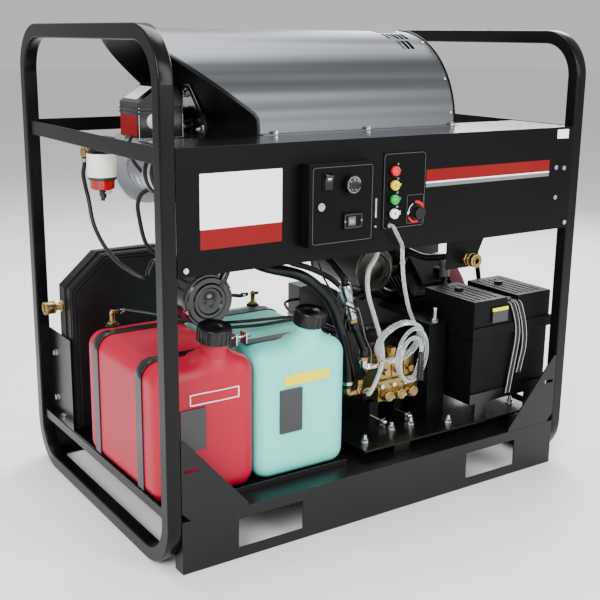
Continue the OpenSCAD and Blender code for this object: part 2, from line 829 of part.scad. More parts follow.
// Half of a strap: flat from the clamp, round the outer corner and down the outer face
module strap_outline() {
    reach = tank_gap / 2 + tank_w;
    r = tank_r;
    translate([strap_clamp, tank_h]) square([reach - r - strap_clamp, strap_t]);
    translate([reach, 0]) square([strap_t, tank_h - r]);
    translate([reach - r, tank_h - r]) intersection() {
        difference() {
            circle(r + strap_t);
            circle(r);
        }
        square(r + strap_t);
    }
}

fit_top = tank_z + tank_h;
gas_port = [tank_x + 69, tank_y + 392];
diesel_port = [diesel_x + 207, tank_y + 376];

// Pick-up elbows on the tanks and the threaded stem of the water inlet
module tank_fittings() {
    color("#c3a14a") {
        for (p = [gas_port, diesel_port]) {
            translate([p.x, p.y, fit_top]) {
                hex_z(22, 10);
                cylinder(r = 6, h = 34);
                translate([0, 0, 34]) sphere(7);
                rotate([0, 90, 0]) translate([-34, 0, 0]) cylinder(r = 5, h = 16);
            }
        }
        inlet_stem();
    }
}

// ---- float tank ----

inlet_y = float_y + float_d / 2 + 2;
inlet_z = base_top + 337;
stem_r = 9;
stem_l = 30;
nut_l = 28;

// Octagonal moulded water tank with a seam flange round its edge
module float_outline(inset) {
    l = float_l;
    h = float_h;
    c = float_chamfer;
    i = inset;
    polygon([[i, i], [l - i, i], [l - i, h - c * 0.9 - i * 0.4], [l - c - i * 0.4, h - i],
        [c + i * 0.4, h - i], [i, h - c * 0.9 - i * 0.4]]);
}
module float_tank() {
    layers = [[0, 14], [8, 7], [16, 2], [24, 0]];
    mid = float_d * 0.52;
    color("#1b1b1c") translate([float_x, float_y + float_d, base_top]) rotate([90, 0, 0]) difference() {
        union() {
            for (k = layers) translate([0, 0, k[0]])
                linear_extrude(float_d - 2 * k[0] > 0 ? float_d - 2 * k[0] : 1) float_outline(k[1] + 4);
            translate([0, 0, mid]) linear_extrude(7) float_outline(0);
        }
        translate([0, 0, 18]) linear_extrude(float_d - 36) float_outline(12);
        translate([0, inlet_z - base_top, float_d - (inlet_y - float_y)]) rotate([0, 90, 0])
            translate([0, 0, -1]) cylinder(r = stem_r - 2, h = 20);
    }
}
module inlet_stem() {
    difference() {
        union() {
            translate([float_x, inlet_y, inlet_z]) rotate([0, -90, 0]) hex_z(28, 8);
            rod_x([float_x - stem_l, inlet_y, inlet_z], stem_r, stem_l);
        }
        rod_x([float_x - stem_l - 1, inlet_y, inlet_z], stem_r - 3, stem_l + 2);
    }
}

// Free-turning hose nut on the water inlet
module inlet_swivel() {
    start = float_x - stem_l - nut_l + 6;
    color("#c79a3b") difference() {
        rod_x([start, inlet_y, inlet_z], inlet_r + 3.5, nut_l);
        rod_x([start - 1, inlet_y, inlet_z], inlet_r, nut_l - 5);
        rod_x([start - 1, inlet_y, inlet_z], stem_r + shaft_gap, nut_l + 2);
    }
}

// ---- engine, belts and pump ----

crank = [312, 100, 340];
pump_axis = [238, -75, 300];
guard_x = 243;
guard_w = 60;
belt_x = guard_x + 13;
belt_step = belt_w + 3;
guard_y = -256;
guard_top = 415;

filler = [410, -118, 500];

// Twin-cylinder engine: crankcase, finned cylinders, heads, carburettor and oil filler
module engine_block() {
    x0 = crank.x;
    body_l = 188;
    color("#1e1e20") difference() {
        union() {
            span([x0, crank.y - 95, deck_plate_z + 18], [x0 + body_l, crank.y + 95, crank.z + 90]);
            for (y = [-85, 45])
                span([x0 + 10, crank.y + y, deck_plate_z],
                    [x0 + body_l - 10, crank.y + y + 40, deck_plate_z + 18]);
            for (side = [0, 1]) translate([0, crank.y, 0]) mirror([0, side, 0])
                translate([x0 + 14 + 26 * side, 0, crank.z]) rotate([45, 0, 0]) cylinder_bank();
            span([x0 + 60, crank.y - 30, crank.z + 90], [x0 + 120, crank.y + 30, crank.z + 200]);
            // intake housing over the cylinders
            span([x0 + 24, crank.y - 90, crank.z + 196], [x0 + 186, crank.y + 60, crank.z + 236]);
            span([x0 + 34, crank.y - 80, crank.z + 236], [x0 + 176, crank.y + 50, crank.z + 262]);
            rod_z([filler.x, filler.y, filler.z], 14, 48);
            rod_y([filler.x, filler.y, filler.z + 12], 10, 40);
        }
        rod_x([x0 - 1, crank.y, crank.z], engine_shaft_d / 2 + shaft_gap, 41);
    }
}
module cylinder_bank() {
    bore_l = 120;
    fins = 7;
    translate([10, -50, 80]) cube([bore_l - 20, 100, 120]);
    for (i = [0 : fins - 1]) translate([0, -60, 100 + i * 14]) cube([bore_l, 120, 5]);
    translate([4, -56, 200]) cube([bore_l - 8, 112, 34]);
    translate([14, -44, 234]) cube([bore_l - 28, 88, 18]);
}

// Round fan housing with the recoil grille
fan_r = 182;
module fan_cover() {
    x0 = crank.x + 188;
    depth = 60;
    centre_z = crank.z + 15;
    color("#7c1226") difference() {
        union() {
            rod_x([x0, crank.y, centre_z], fan_r, depth - 12);
            rod_x([x0 + depth - 12, crank.y, centre_z], fan_r - 12, 12);
        }
        rod_x([x0 - 1, crank.y, centre_z], fan_r - 4, depth - 16);
        for (r = [30 : 18 : 120], a = [0 : 30 : 330])
            rotate_about(a + r) translate([0, r, 0]) rod_x([x0 + depth - 20, 0, 0], 4, 30);
    }
}
module rotate_about(a) {
    translate([0, crank.y, crank.z + 15]) rotate([a, 0, 0]) children();
}

// Round muffler above the belt guard, joined to the front cylinder by its pipe
module muffler() {
    c = [238, -20, 518];
    length = 240;
    color("#9b9c9d") {
        difference() {
            rod_y(c, muffler_r, length);
            translate(c) rotate([-90, 0, 0]) translate([0, 0, -1]) difference() {
                cylinder(r = muffler_r - 7, h = 5);
                cylinder(r = muffler_r - 18, h = 6);
            }
        }
        rod_y([c.x, c.y - 3, c.z], 28, 4);
        rod_x([c.x + muffler_r - 10, c.y + 32, c.z - 18], 16, crank.x + 14 - c.x - muffler_r + 10);
    }
}

// Engine air cleaner in its hanger from the panel flange
cleaner_x = -393;
cleaner_y = -200;
cleaner_z = 555;
module air_cleaner() {
    length = 150;
    top = panel_z + sheet_t;
    color("#161616") {
        rod_y([cleaner_x, cleaner_y, cleaner_z], cleaner_r, length);
        rod_y([cleaner_x, cleaner_y - 6, cleaner_z], cleaner_r - 8, 6);
        translate([cleaner_x + 22, cleaner_y + 12, cleaner_z + 14]) rotate([0, 25, 0])
            cylinder(r = 17, h = 60);
        span([cleaner_x - 20, cleaner_y + 14, cleaner_z + cleaner_r - 4],
            [cleaner_x + 20, cleaner_y + 17, top + 3]);
        span([cleaner_x - 20, panel_y, top], [cleaner_x + 20, cleaner_y + 17, top + 3]);
    }
}

// Sheet guard over the belt drive, open below
module belt_guard() {
    y1 = 165;
    t = 2;
    color("#202021") difference() {
        span([guard_x, guard_y, deck_plate_z], [guard_x + guard_w, y1, guard_top]);
        span([guard_x + t, guard_y + t, deck_plate_z - 1], [guard_x + guard_w - t, y1 - t, guard_top - t]);
        rod_x([guard_x - 1, pump_axis.y, pump_axis.z], pump_shaft_d / 2 + 4, t + 2);
        rod_x([guard_x + guard_w - t - 1, crank.y, crank.z], engine_shaft_d / 2 + 4, t + 2);
    }
}

// Grooved pulley, from its left face
module pulley(pitch_r, shaft_d, shaft_from, shaft_to) {
    width = 2 * belt_step + 2;
    rotate([0, 90, 0]) {
        difference() {
            cylinder(r = pitch_r + 4, h = width);
            for (i = [0, 1]) translate([0, 0, 1 + (belt_step - belt_w) / 2 + i * belt_step])
                difference() {
                    cylinder(r = pitch_r + 5, h = belt_w);
                    cylinder(r = pitch_r - 7, h = belt_w);
                }
        }
        translate([0, 0, shaft_from]) cylinder(r = shaft_d / 2, h = shaft_to - shaft_from);
    }
}
pulley_x = belt_x - 1;
module engine_pulley() {
    color("#5b5d60") translate([pulley_x, crank.y, crank.z])
        pulley(engine_pulley_r, engine_shaft_d, 0, crank.x + 38 - pulley_x);
}
module pump_pulley() {
    color("#5b5d60") translate([pulley_x, pump_axis.y, pump_axis.z])
        pulley(pump_pulley_r, pump_shaft_d, guard_x - 38 - pulley_x, 2 * belt_step + 2);
}

// Two belts round both pulleys; the straight runs start just inside the arcs, so that they cross
belt_gap = 0.4;
run_inset = 0.05;
module belt_outline(grow) {
    r1 = engine_pulley_r + grow;
    r2 = pump_pulley_r + grow;
    d = norm([crank.y - pump_axis.y, crank.z - pump_axis.z]);
    lean = acos((r2 - r1) / d);
    up = [cos(lean), sin(lean)];
    down = [cos(lean), -sin(lean)];
    circle(r2);
    translate([d, 0]) circle(r1);
    polygon([(r2 - run_inset) * up, [d, 0] + (r1 - run_inset) * up,
        [d, 0] + (r1 - run_inset) * down, (r2 - run_inset) * down]);
}
module drive_belts() {
    turn = atan2(crank.z - pump_axis.z, crank.y - pump_axis.y);
    color("#101010") for (i = [0, 1])
        translate([belt_x + (belt_step - belt_w) / 2 + i * belt_step + belt_gap, pump_axis.y, pump_axis.z])
            rotate([turn, 0, 0]) rotate([90, 0, 90]) linear_extrude(belt_w - 2 * belt_gap) difference() {
                belt_outline(3);
                belt_outline(-7 + belt_gap);
            }
}

pump_x = 106;
pump_l = 132;
manifold_y = -220;
manifold_x = 103;

// Pump crankcase on its two slide rails
module pump_crankcase() {
    color("#1a1a1b") difference() {
        union() {
            span([pump_x, manifold_y + 70, 192], [pump_x + pump_l, 10, 350]);
            rod_x([pump_x, pump_axis.y, pump_axis.z], 74, pump_l);
            for (i = [-1, 0, 1])
                rod_y([manifold_x + manifold_w / 2 + i * plunger_pitch, manifold_y + 66, 262], 17, 20);
            for (x = [8, pump_l - 38])
                span([pump_x + x, manifold_y + 50, deck_plate_z], [pump_x + x + 30, 30, 192]);
            rod_z([pump_x + 40, -30, 340], 12, 60);
        }
        rod_x([pump_x + pump_l - 40, pump_axis.y, pump_axis.z], pump_shaft_d / 2 + shaft_gap, 41);
    }
}

// Forged brass manifold with its valve caps
module pump_manifold() {
    x0 = manifold_x;
    x1 = manifold_x + manifold_w;
    y1 = manifold_y + 66;
    color("#b98f45") {
        span([x0, manifold_y, 212], [x1, y1, 268]);
        span([x0 + 5, manifold_y + 12, 268], [x1 - 5, y1, 326]);
        for (i = [-1, 0, 1]) translate([(x0 + x1) / 2 + i * plunger_pitch, 0, 0]) {
            translate([0, manifold_y, 228]) rotate([90, 0, 0]) {
                hex_z(30, 8);
                cylinder(r = 14, h = 14);
            }
            translate([0, manifold_y + 38, 326]) {
                cylinder(r = 15, h = 8);
                translate([0, 0, 8]) hex_z(26, 12);
            }
            rod_y([0, manifold_y - 4, 290], 9, 16);
        }
    }
}

// Inlet tee, discharge elbow and unloader valve
module pump_fittings() {
    y = manifold_y + 25;
    x = manifold_x;
    color("#c8a24c") {
        rod_x([x - 84, y, 244], 11, 84);
        rod_z([x - 46, y, 236], 10, 44);
        rod_z([x - 84, y, 244], 11, 18);
        translate([x - 84, y, 244]) sphere(11);
        translate([x - 58, y, 244]) rotate([0, 90, 0]) hex_z(30, 22);
        rod_y([x - 46, y - 26, 252], 7, 26);
    }
    color("#d0d2d4") {
        rod_x([x - 32, y, 306], 10, 37);
        rod_z([x - 32, y, 306], 11, 24);
        translate([x - 32, y, 306]) sphere(11);
    }
    color("#c8a24c") translate([x - 32, y, 330]) hex_z(28, 10);
    unloader_at() {
        color("#d0d2d4") cylinder(r = 12, h = 40);
        color("#d0d2d4") translate([0, 0, 40]) hex_z(30, 14);
        color("#d0d2d4") translate([0, 0, 54]) cylinder(r = 14, h = 46);
        color("#c8a24c") translate([0, 0, -10]) hex_z(28, 10);
    }
}
module unloader_at() {
    translate(unloader) rotate([0, -unloader_lean, 0]) children();
}

// ---- battery ----

case_x = half_l - 296;
case_y = -half_w + 57.5;
tray_z = deck_plate_z + 50;
tray_lip = 29;
case_z = tray_z + sheet_t;
lid_wall = 3;

// Tray with an upturned lip on legs that are welded to the deck
module battery_tray() {
    x0 = case_x + 2;
    x1 = case_x + rim_l - 2;
    y0 = case_y + 2;
    y1 = case_y + rim_w - 2;
    leg_w = 40;
    difference() {
        span([x0, y0, tray_z], [x1, y1, tray_z + tray_lip]);
        span([x0 + sheet_t, y0 + sheet_t, case_z], [x1 - sheet_t, y1 - sheet_t, tray_z + tray_lip + 1]);
    }
    for (x = [x0 + leg_w / 2, deck_x + deck_plate_l - leg_w], y = [y0, y1 - sheet_t])
        span([x, y, deck_plate_z], [x + leg_w, y + sheet_t, tray_z]);
}

// Moulded battery box, open at the top
module battery_box() {
    in = 8;
    color("#1d1d1e") difference() {
        span([case_x + in, case_y + in, case_z],
            [case_x + rim_l - in, case_y + rim_w - in, case_z + case_h]);
        span([case_x + in + lid_wall, case_y + in + lid_wall, case_z + lid_wall],
            [case_x + rim_l - in - lid_wall, case_y + rim_w - in - lid_wall, case_z + case_h + 1]);
    }
}

// Lid with two raised halves, vent caps and a strap channel between them
module battery_lid() {
    in = 8;
    z0 = case_z + case_h;
    z1 = z0 + lid_h;
    channel = 38;
    x1 = case_x + rim_l;
    y1 = case_y + rim_w;
    mid = case_x + rim_l * 0.49;
    color("#232324") {
        difference() {
            union() {
                span([case_x, case_y, z0 - 4], [x1, y1, z0 + 26]);
                span([case_x + 5, case_y + 5, z0 + 26], [mid - channel / 2, y1 - 5, z1]);
                span([mid + channel / 2, case_y + 5, z0 + 26], [x1 - 5, y1 - 5, z1]);
                span([mid - channel / 2, case_y + 5, z0 + 26], [mid + channel / 2, y1 - 5, z1 - 18]);
            }
            span([case_x + in - 1, case_y + in - 1, z0 - 5], [x1 - in + 1, y1 - in + 1, z0]);
            span([case_x + in + lid_wall, case_y + in + lid_wall, z0 - 1],
                [x1 - in - lid_wall, y1 - in - lid_wall, z1 - 18 - lid_wall]);
        }
        for (x = [case_x + 62, case_x + 211]) rod_z([x, case_y + 130, z1], 12, 8);
    }
}

// Lead-acid battery inside the box
module battery() {
    x = case_x + rim_l / 2;
    y = case_y + rim_w / 2;
    z = case_z + lid_wall;
    color("#303032") span([x - 130, y - 86, z], [x + 130, y + 86, z + 205]);
    color("#a9a9a9") for (s = [-1, 1]) rod_z([x + s * 100, y - 60, z + 205], 9, 15);
}

// ---- outlet ----

outlet_x = 268;
outlet_z = panel_z - 60;
outlet_y = panel_y + panel_lip - 6;

// Hanging plate with the body of the quick coupler
module outlet_bracket() {
    color("#1e1e1f") translate([outlet_x, outlet_y + sheet_t, panel_z])
        rotate([90, 0, 0]) linear_extrude(sheet_t)
        polygon([[-66, 0], [66, 0], [26, -84], [-66, -84]]);
    color("#c9a54f") difference() {
        union() {
            rod_y([outlet_x, outlet_y - 42, outlet_z], 11, 42);
            translate([outlet_x, outlet_y, outlet_z]) rotate([90, 0, 0]) hex_z(30, 12);
            rod_y([outlet_x, outlet_y, outlet_z], 9, 20);
        }
        rod_y([outlet_x, outlet_y - 43, outlet_z], 7, 22);
    }
}

// Sliding sleeve of the quick coupler
module coupler_collar() {
    color("#c9a54f") difference() {
        union() {
            rod_y([outlet_x, outlet_y - 40, outlet_z], 16, 20);
            rod_y([outlet_x, outlet_y - 40, outlet_z], 18, 5);
            rod_y([outlet_x, outlet_y - 25, outlet_z], 18, 5);
        }
        rod_y([outlet_x, outlet_y - 41, outlet_z], 11 + shaft_gap, 22);
    }
}

// ---- fasteners ----

// Zinc-plated screws and bolts, the burner flange bolts and the strap clamps
module zinc_hardware() {
    color("#c2c5c8") {
        // front panel screws
        for (p = [[-post_in + 18, 15], [post_in - 13, 15], [post_in - 55, 85], [post_in - 29, 160],
            [post_in - 59, 163]])
            translate([p.x, -half_w, panel_z + p.y]) rotate([90, 0, 0]) cylinder(r = 6, h = 4);
        // wrap flange bolts
        for (x = [40, drum_l / 2 + 10, drum_l - 14], s = [-1, 1])
            translate([drum_x0 + x, s * (drum_r + 11), deck_top + wrap_t]) bolt_head(10, 6);
        // engine deck bolts
        for (p = [[36, 50], [150, 84], [216, 84], [312, 42],
            [deck_plate_l - 186, 34], [deck_plate_l - 36, 60]])
            translate([deck_x + p.x, deck_y + p.y, deck_plate_z]) {
                bolt_head(15, 9);
                cylinder(r = 5, h = 20);
            }
        // belt tension bolts
        for (x = [pump_x + 23, pump_x + pump_l - 23])
            translate([x - 20, manifold_y - 24, deck_plate_z + 12]) {
                sphere(8);
                rod_y([0, 0, 0], 3.5, 60);
                span([-9, 8, -12], [9, 12, 8]);
            }
        // manifold bolts
        for (x = [-1.5, -0.5, 0.5, 1.5])
            translate([manifold_x + manifold_w / 2 + x * plunger_pitch * 0.97, manifold_y, 256])
                rotate([90, 0, 0])
                cylinder(r = 6, h = 9);
        for (x = [-0.5, 0.5])
            translate([manifold_x + manifold_w / 2 + x * plunger_pitch, manifold_y, 222]) rotate([90, 0, 0])
                cylinder(r = 5, h = 9);
        // burner flange with its four bolts
        translate([flange_x, burner_y + scroll_w / 2, deck_top]) rotate([0, -90, 0]) {
            linear_extrude(sheet_t) difference() {
                rotate(45) round_rect(140, 140, 20);
                circle(tube_r + fit_gap);
            }
            for (a = [0 : 90 : 270]) rotate(a) translate([flange_bolt_r, 0, sheet_t]) {
                bolt_head(16, 9);
                cylinder(r = 5, h = 18);
            }
        }
        // strap clamps between the tanks
        for (y = strap_ys)
            translate([diesel_x - tank_gap / 2, y, tank_z + tank_h + strap_t]) {
                for (s = [0, 1]) mirror([s, 0, 0])
                    span([strap_clamp, -14, 0], [strap_clamp + strap_t, 14, 26]);
                rod_x([-30, 0, 15], 4, 60);
            }
        // bracket bolts
        for (p = [[322, 319], [322, 192], [290, 146]])
            translate([float_x - sheet_t, p.x, p.y]) rotate([0, -90, 0]) bolt_head(13, 7);
        // guard bolt
        translate([guard_x + guard_w / 2, guard_y + 16, guard_top]) {
            bolt_head(15, 8);
            cylinder(r = 5, h = 38);
        }
    }
}

// ---- hoses ----

canister = [9, 20, 340];
fit_y = manifold_y + 25;
fit_x = manifold_x - 32;
tee_x = manifold_x - 84;
pickup_z = fit_top + 34;
filter_port = [filter_x - 6, filter_y + 92, filter_top - 34];
unloader = [28, manifold_y + 20, 452];
unloader_lean = 17;
unloader_up = [-sin(unloader_lean), 0, cos(unloader_lean)];

// Three points straight out of a fitting, and the same into one
function leave(p, d) = [p, p + d, p + 2 * d];
function enter(p, d) = [p + 2 * d, p + d, p];

// Points chosen along each hose between the fittings that it joins
route_filter = concat(leave(filter_port, [0, 0, -10]), [[-578, 80, 831], [-575, 77, 802],
    [-571, 70, 771], [-570, 50, 719], [-565, 15, 678], [-552, -25, 642], [-532, -65, 618],
    [-505, -95, 602], [-480, -62, 614], [-440, -20, 622], [-350, 40, 560], [-280, 50, 510]], enter([diesel_port.x - 16, diesel_port.y, pickup_z], [-16, 0, 0]));
route_gas = concat(leave([gas_port.x + 16, gas_port.y, pickup_z], [10, 0, 0]), [[-440, 20, 478],
    [-400, -30, 471], [-345, -90, 468], [-280, -130, 470], [-200, -134, 466], [-119, -132, 460],
    [-90, -132, 450], [-40, -140, 425], [27, -140, 404], [90, -80, 410], [150, 0, 425],
    [200, 90, 434], [260, 130, 434], [310, 130, 450]], enter([crank.x + 59.7, 115, 490],
    [-10, 0, 0]));
route_return = concat([[-360, -110, 459], [-303, -140, 462], [-220, -152, 459], [-112, -150, 459],
    [-86, -140, 450], [-66, -60, 442], [-40, 20, 448]], enter([canister.x - fit_gap, 40, 450],
    [-10, 0, 0]));
route_water = concat(leave([-240, float_y - fit_gap, 500], [0, -14, 0]), [[-240, 100, 580],
    [-240, 20, 618], [-240, -80, 628], [-225, -165, 612], [-140, -205, 586], [-78, -208, 540],
    [-44, -208, 496], [-22, -206, 446], [-2, -204, 396], [12, -200, 340]],
    enter([tee_x, fit_y, 262 + fit_gap], [0, 0, 14]));
route_clear = concat([[0, -340, 720], [-3, -332, 650], [-18, -320, 606], [-6, -305, 546],
    [28, -290, 476], [68, -270, 400], [82, -260, 340], [70, -250, 285]],
    enter([manifold_x - 46, fit_y - 26 - fit_gap, 252], [0, -10, 0]));
route_battery = concat(leave([430, panel_y + fit_gap, 770], [0, 8, 0]), [[455, -350, 738],
    [478, -280, 706], [494, -200, 668], [512, -140, 620], [530, -116, 560], [548, -110, 495],
    [560, -112, 430], [556, -116, 370]], enter([552, case_y + rim_w - 8 + fit_gap, 330],
    [0, 8, 0]));
route_outlet = concat(leave(outlet_stub - [0, 0, 12], [0, 0, -10]), [[240, -110, 612],
    [252, -200, 590], [264, -270, 600]], enter([outlet_x, outlet_y + 20, outlet_z], [0, 8, 0]));
route_inlet = concat(leave(unloader + (100 + fit_gap) * unloader_up, 9 * unloader_up),
    [[-35, -150, 615], [-110, -70, 640], [-190, -45, 650]], enter(inlet_stub - [0, 0, 12],
    [0, 0, -8]));
route_wire = [[-98, -200, 690], [-94, -200, 650], [-72, -200, 583], [-58, -206, 552],
    [-34, -216, 510], [4, -232, 488], [22, -230, 476], [22, -221, 471],
    [22, manifold_y + 8 - fit_gap, 471]];
route_loom = concat([[-190, -150, 700], [-170, -150, 640], [-136, -150, 609], [-75, -150, 586],
    [-12, -150, 553], [31, -150, 515], [70, -120, 470], [120, -40, 436], [190, 30, 434],
    [250, 70, 434], [296, 90, 436]], enter([crank.x + 22, 100, crank.z + 90 + fit_gap], [0, 0, 9]));
unloader_side = [unloader_up.z, 0, -unloader_up.x];

route_sense = concat(
    leave(unloader + 14 * unloader_up + (12 + fit_gap) * unloader_side, 5 * unloader_side),
    [[58, -199, 436], [72, -197, 391], [92, fit_y, 352]],
    enter([manifold_x - 8, fit_y, 316 + fit_gap], [0, 0, 6]));
route_drain = concat(leave([canister.x - fit_gap, 50, 410], [-8, 0, 0]), [[-28, -40, 430],
    [-28, -150, 432], [-12, -216, 416], [10, -216, 350], [28, -212, 295]],
    enter([tee_x + 21, fit_y, 255 + fit_gap], [0, 0, 6]));
route_conduit = concat(leave(filler - [0, 0, fit_gap], [0, 0, -8]), [[402, -120, 460],
    [388, -118, 425], [372, -110, 380], [364, -80, 345]], enter([364, crank.y - 95 - fit_gap, 330],
    [0, -14, 0]));
route_discharge = concat(leave([fit_x, fit_y, 340 + fit_gap], [0, 0, 8]),
    enter(unloader - (10 + fit_gap) * unloader_up, -9 * unloader_up));

// Hoses and wires that are held at both ends
module fluid_hoses() {
    color("#121212") {
        sweep(smooth(route_filter, 2), 5);
        sweep(smooth(route_gas, 2), 4, 6);
        sweep(smooth(route_return, 2), 4, 6);
        sweep(smooth(route_water, 3), 14);
        sweep(smooth(route_discharge, 2), 11);
        sweep(smooth(route_battery, 2), 7, 6);
        sweep(smooth(route_outlet, 2), 9);
        sweep(smooth(route_inlet, 2), 9);
        sweep(smooth(route_wire, 2), 2.5, 6);
        sweep(smooth(route_loom, 2), 8, 6);
        sweep(smooth(route_drain, 2), 3.5, 6);
        sweep(smooth(route_conduit, 2), 7, 6);
    }
    color("#e8e8e8", 0.5) sweep(smooth(route_clear, 3), clear_hose_d / 2);
    color("#9a9a9a") sweep(smooth(route_sense, 2), 3, 6);
}

// Free detergent hose: out of its bushing, down to the tie, round its loops and on to the strainer
tie = [80, -398.25, 449.2];
tie_run = [0.05, 0.34, -0.94];
route_detergent = [[grommet_x, face_y - 4, grommet_z], [-31, -424, 733], [-27, -428, 724], [-12, -424, 704],
    [3, -418, 684], [9, -414, 650], [14, -413, 610], [23, -412, 570], [35, -411, 530],
    [49, -410, 500], [64, -407, 478], tie - 22 * tie_run, tie - 11 * tie_run, tie];
module detergent_hose() {
    color("#e9edf0", 0.6) sweep(smooth(route_detergent, 3), det_hose_d / 2);
}

// Turn about Z, lean to the front and droop below the tie: the wide loops, then the upright ones
wide_hang = [-6, 21.8, 8.3];
upright_hang = [18, 0, 25];
turn_from = 1.8;
turn_over = 0.51;
// how far the last strand is drawn into its loop, from which share of a turn and over how much
draw_in = 50;
draw_from = 0.5;
draw_over = 0.8;
// lean of the strainer to the left and to the front
strainer_lean = [12, 12];
function ease(x) = let (c = min(max(x, 0), 1)) c * c * (3 - 2 * c);
// A point of the loops after t turns; each loop lies a step in front of the last one
function hang(t) = let (
        w = ease((t - turn_from) / turn_over),
        lie = wide_hang + (upright_hang - wide_hang) * w,
        side = [cos(lie[0]), sin(lie[0]), 0],
        up = cos(lie[1]) * [0, 0, 1] - sin(lie[1]) * [-side.y, side.x, 0],
        droop = lie[2],
        r = wide_loop_r + (loop_r - wide_loop_r) * w,
        inner = r - draw_in * ease((t - det_loops + draw_from) / draw_over),
        q = droop - 360 * t,
        centre = tie - t * [2, loop_step, 0] - r * (cos(droop) * side + sin(droop) * up))
    centre + inner * (cos(q) * side + sin(q) * up);
hang_rings = det_loops * loop_rings;
hang_loops = [for (k = [0 : hang_rings]) hang(k / loop_rings)];
hang_gap = min([for (i = [0 : hang_rings], j = [i + loop_rings / 2 : 1 : hang_rings])
    norm(hang_loops[i] - hang_loops[j])]) - det_hose_d;
strainer_run = [-cos(strainer_lean.y) * sin(strainer_lean.x), -sin(strainer_lean.y),
    -cos(strainer_lean.y) * cos(strainer_lean.x)];
strainer_top = hang_loops[hang_rings] + det_hose_d * strainer_run;
echo(least_gap_of_hose_loops = hang_gap);
module detergent_hose_coil() {
    color("#e9edf0", 0.6) sweep(concat(hang_loops, [strainer_top]), det_hose_d / 2, 6);
}

// Suction strainer at the hose's end
module hose_strainer() {
    color("#131313") translate(strainer_top) rotate([-strainer_lean.y, strainer_lean.x, 0]) {
        rod_z([0, 0, -22], 7, 22);
        rod_z([0, 0, -66], 9, 44);
    }
}

// Fuel vapour canister on its post behind the pump
module vapour_canister() {
    post_x = canister.x + 50;
    color("#1a1a1b") {
        translate([canister.x, canister.y + 60, canister.z]) rotate([90, 0, 0]) linear_extrude(60)
            polygon([[0, 0], [130, 0], [130, 122], [78, 150], [0, 150]]);
        span([post_x, canister.y + 28, deck_plate_z], [post_x + 30, canister.y + 32, canister.z]);
        span([post_x - 10, canister.y + 10, deck_plate_z],
            [post_x + 40, canister.y + 50, deck_plate_z + sheet_t]);
    }
}

left_end_loop();
right_end_loop();
cross_rails();
base_skid();
corner_gussets();
tank_tray();
engine_deck();
deck_isolators();
zinc_hardware();
control_panel();
top_deck();
control_box();
control_door();
door_latch();
rocker_switch();
thermostat_knob();
nozzle_plate();
nozzle_red();
nozzle_yellow();
nozzle_green();
nozzle_white();
detergent_knob();
coil_wrap();
coil_drum();
heating_coil();
burner_housing();
burner_motor();
blower_wheel();
filter_canister();
filter_bowl();
drain_valve();
gasoline_tank();
diesel_tank();
gasoline_cap();
diesel_cap();
tank_straps();
tank_fittings();
float_tank();
inlet_swivel();
engine_block();
fan_cover();
muffler();
air_cleaner();
belt_guard();
drive_belts();
engine_pulley();
pump_pulley();
pump_crankcase();
pump_manifold();
pump_fittings();
fluid_hoses();
detergent_hose();
detergent_hose_coil();
hose_strainer();
vapour_canister();
battery_box();
battery_lid();
battery();
outlet_bracket();
coupler_collar();
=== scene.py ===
"""Hot-water pressure washer on its skid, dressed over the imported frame.

Sizes are written in millimetres, as on a maker's drawing, and piece() turns each
finished surface into metres. X runs along the control side, Y to the rear and Z
up, from the ground under the middle of the base.
"""
import math

import bmesh
import bpy
import numpy as np
from mathutils import Matrix, Vector


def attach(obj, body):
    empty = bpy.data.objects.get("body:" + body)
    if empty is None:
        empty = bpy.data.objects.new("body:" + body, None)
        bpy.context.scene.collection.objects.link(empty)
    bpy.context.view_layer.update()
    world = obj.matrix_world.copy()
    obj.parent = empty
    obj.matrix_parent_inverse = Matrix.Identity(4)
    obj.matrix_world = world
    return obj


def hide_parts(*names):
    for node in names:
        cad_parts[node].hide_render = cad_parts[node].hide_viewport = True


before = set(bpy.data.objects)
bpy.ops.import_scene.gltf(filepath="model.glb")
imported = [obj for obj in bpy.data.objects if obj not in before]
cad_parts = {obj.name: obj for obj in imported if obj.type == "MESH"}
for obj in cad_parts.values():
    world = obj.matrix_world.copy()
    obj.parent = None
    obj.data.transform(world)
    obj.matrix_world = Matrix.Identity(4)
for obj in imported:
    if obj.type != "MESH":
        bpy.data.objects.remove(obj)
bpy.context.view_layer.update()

scene = bpy.context.scene

# ---- view, lamps and floor ----
# The washer stands on a pale floor between broad soft lamps, seen from the
# front and left and from a little above its top deck.
turn, dip, roll = 0.5933, 0.2431, 0.01231
eye = Vector((-1.4807, -2.2096, 1.1566))
ahead = Vector((math.sin(turn) * math.cos(dip), math.cos(turn) * math.cos(dip), -math.sin(dip)))
across = Vector((math.cos(turn), -math.sin(turn), 0))
above = across.cross(ahead)
view_right = across * math.cos(roll) + above * math.sin(roll)
view_up = above * math.cos(roll) - across * math.sin(roll)


def add(name, data):
    """Puts a mesh, lamp, camera or text into the scene as a new object."""
    obj = bpy.data.objects.new(name, data)
    scene.collection.objects.link(obj)
    return obj


lens = bpy.data.cameras.new("view")
lens.sensor_width, lens.lens = 36, 60.46
lens.shift_x, lens.shift_y = -0.00683, -0.02267
view = add("view", lens)
stand = Matrix((view_right, view_up, -ahead)).transposed().to_4x4()
stand.translation = eye
view.matrix_world = stand
scene.camera = view


def lamp(name, at, size, power):
    """Square soft lamp at a point, in metres, turned to the washer's middle."""
    light = bpy.data.lights.new(name, "AREA")
    light.shape, light.size, light.energy = "SQUARE", size, power
    obj = add(name, light)
    obj.location = at
    obj.rotation_euler = (Vector((0, 0, 0.6)) - Vector(at)).to_track_quat("-Z", "Y").to_euler()


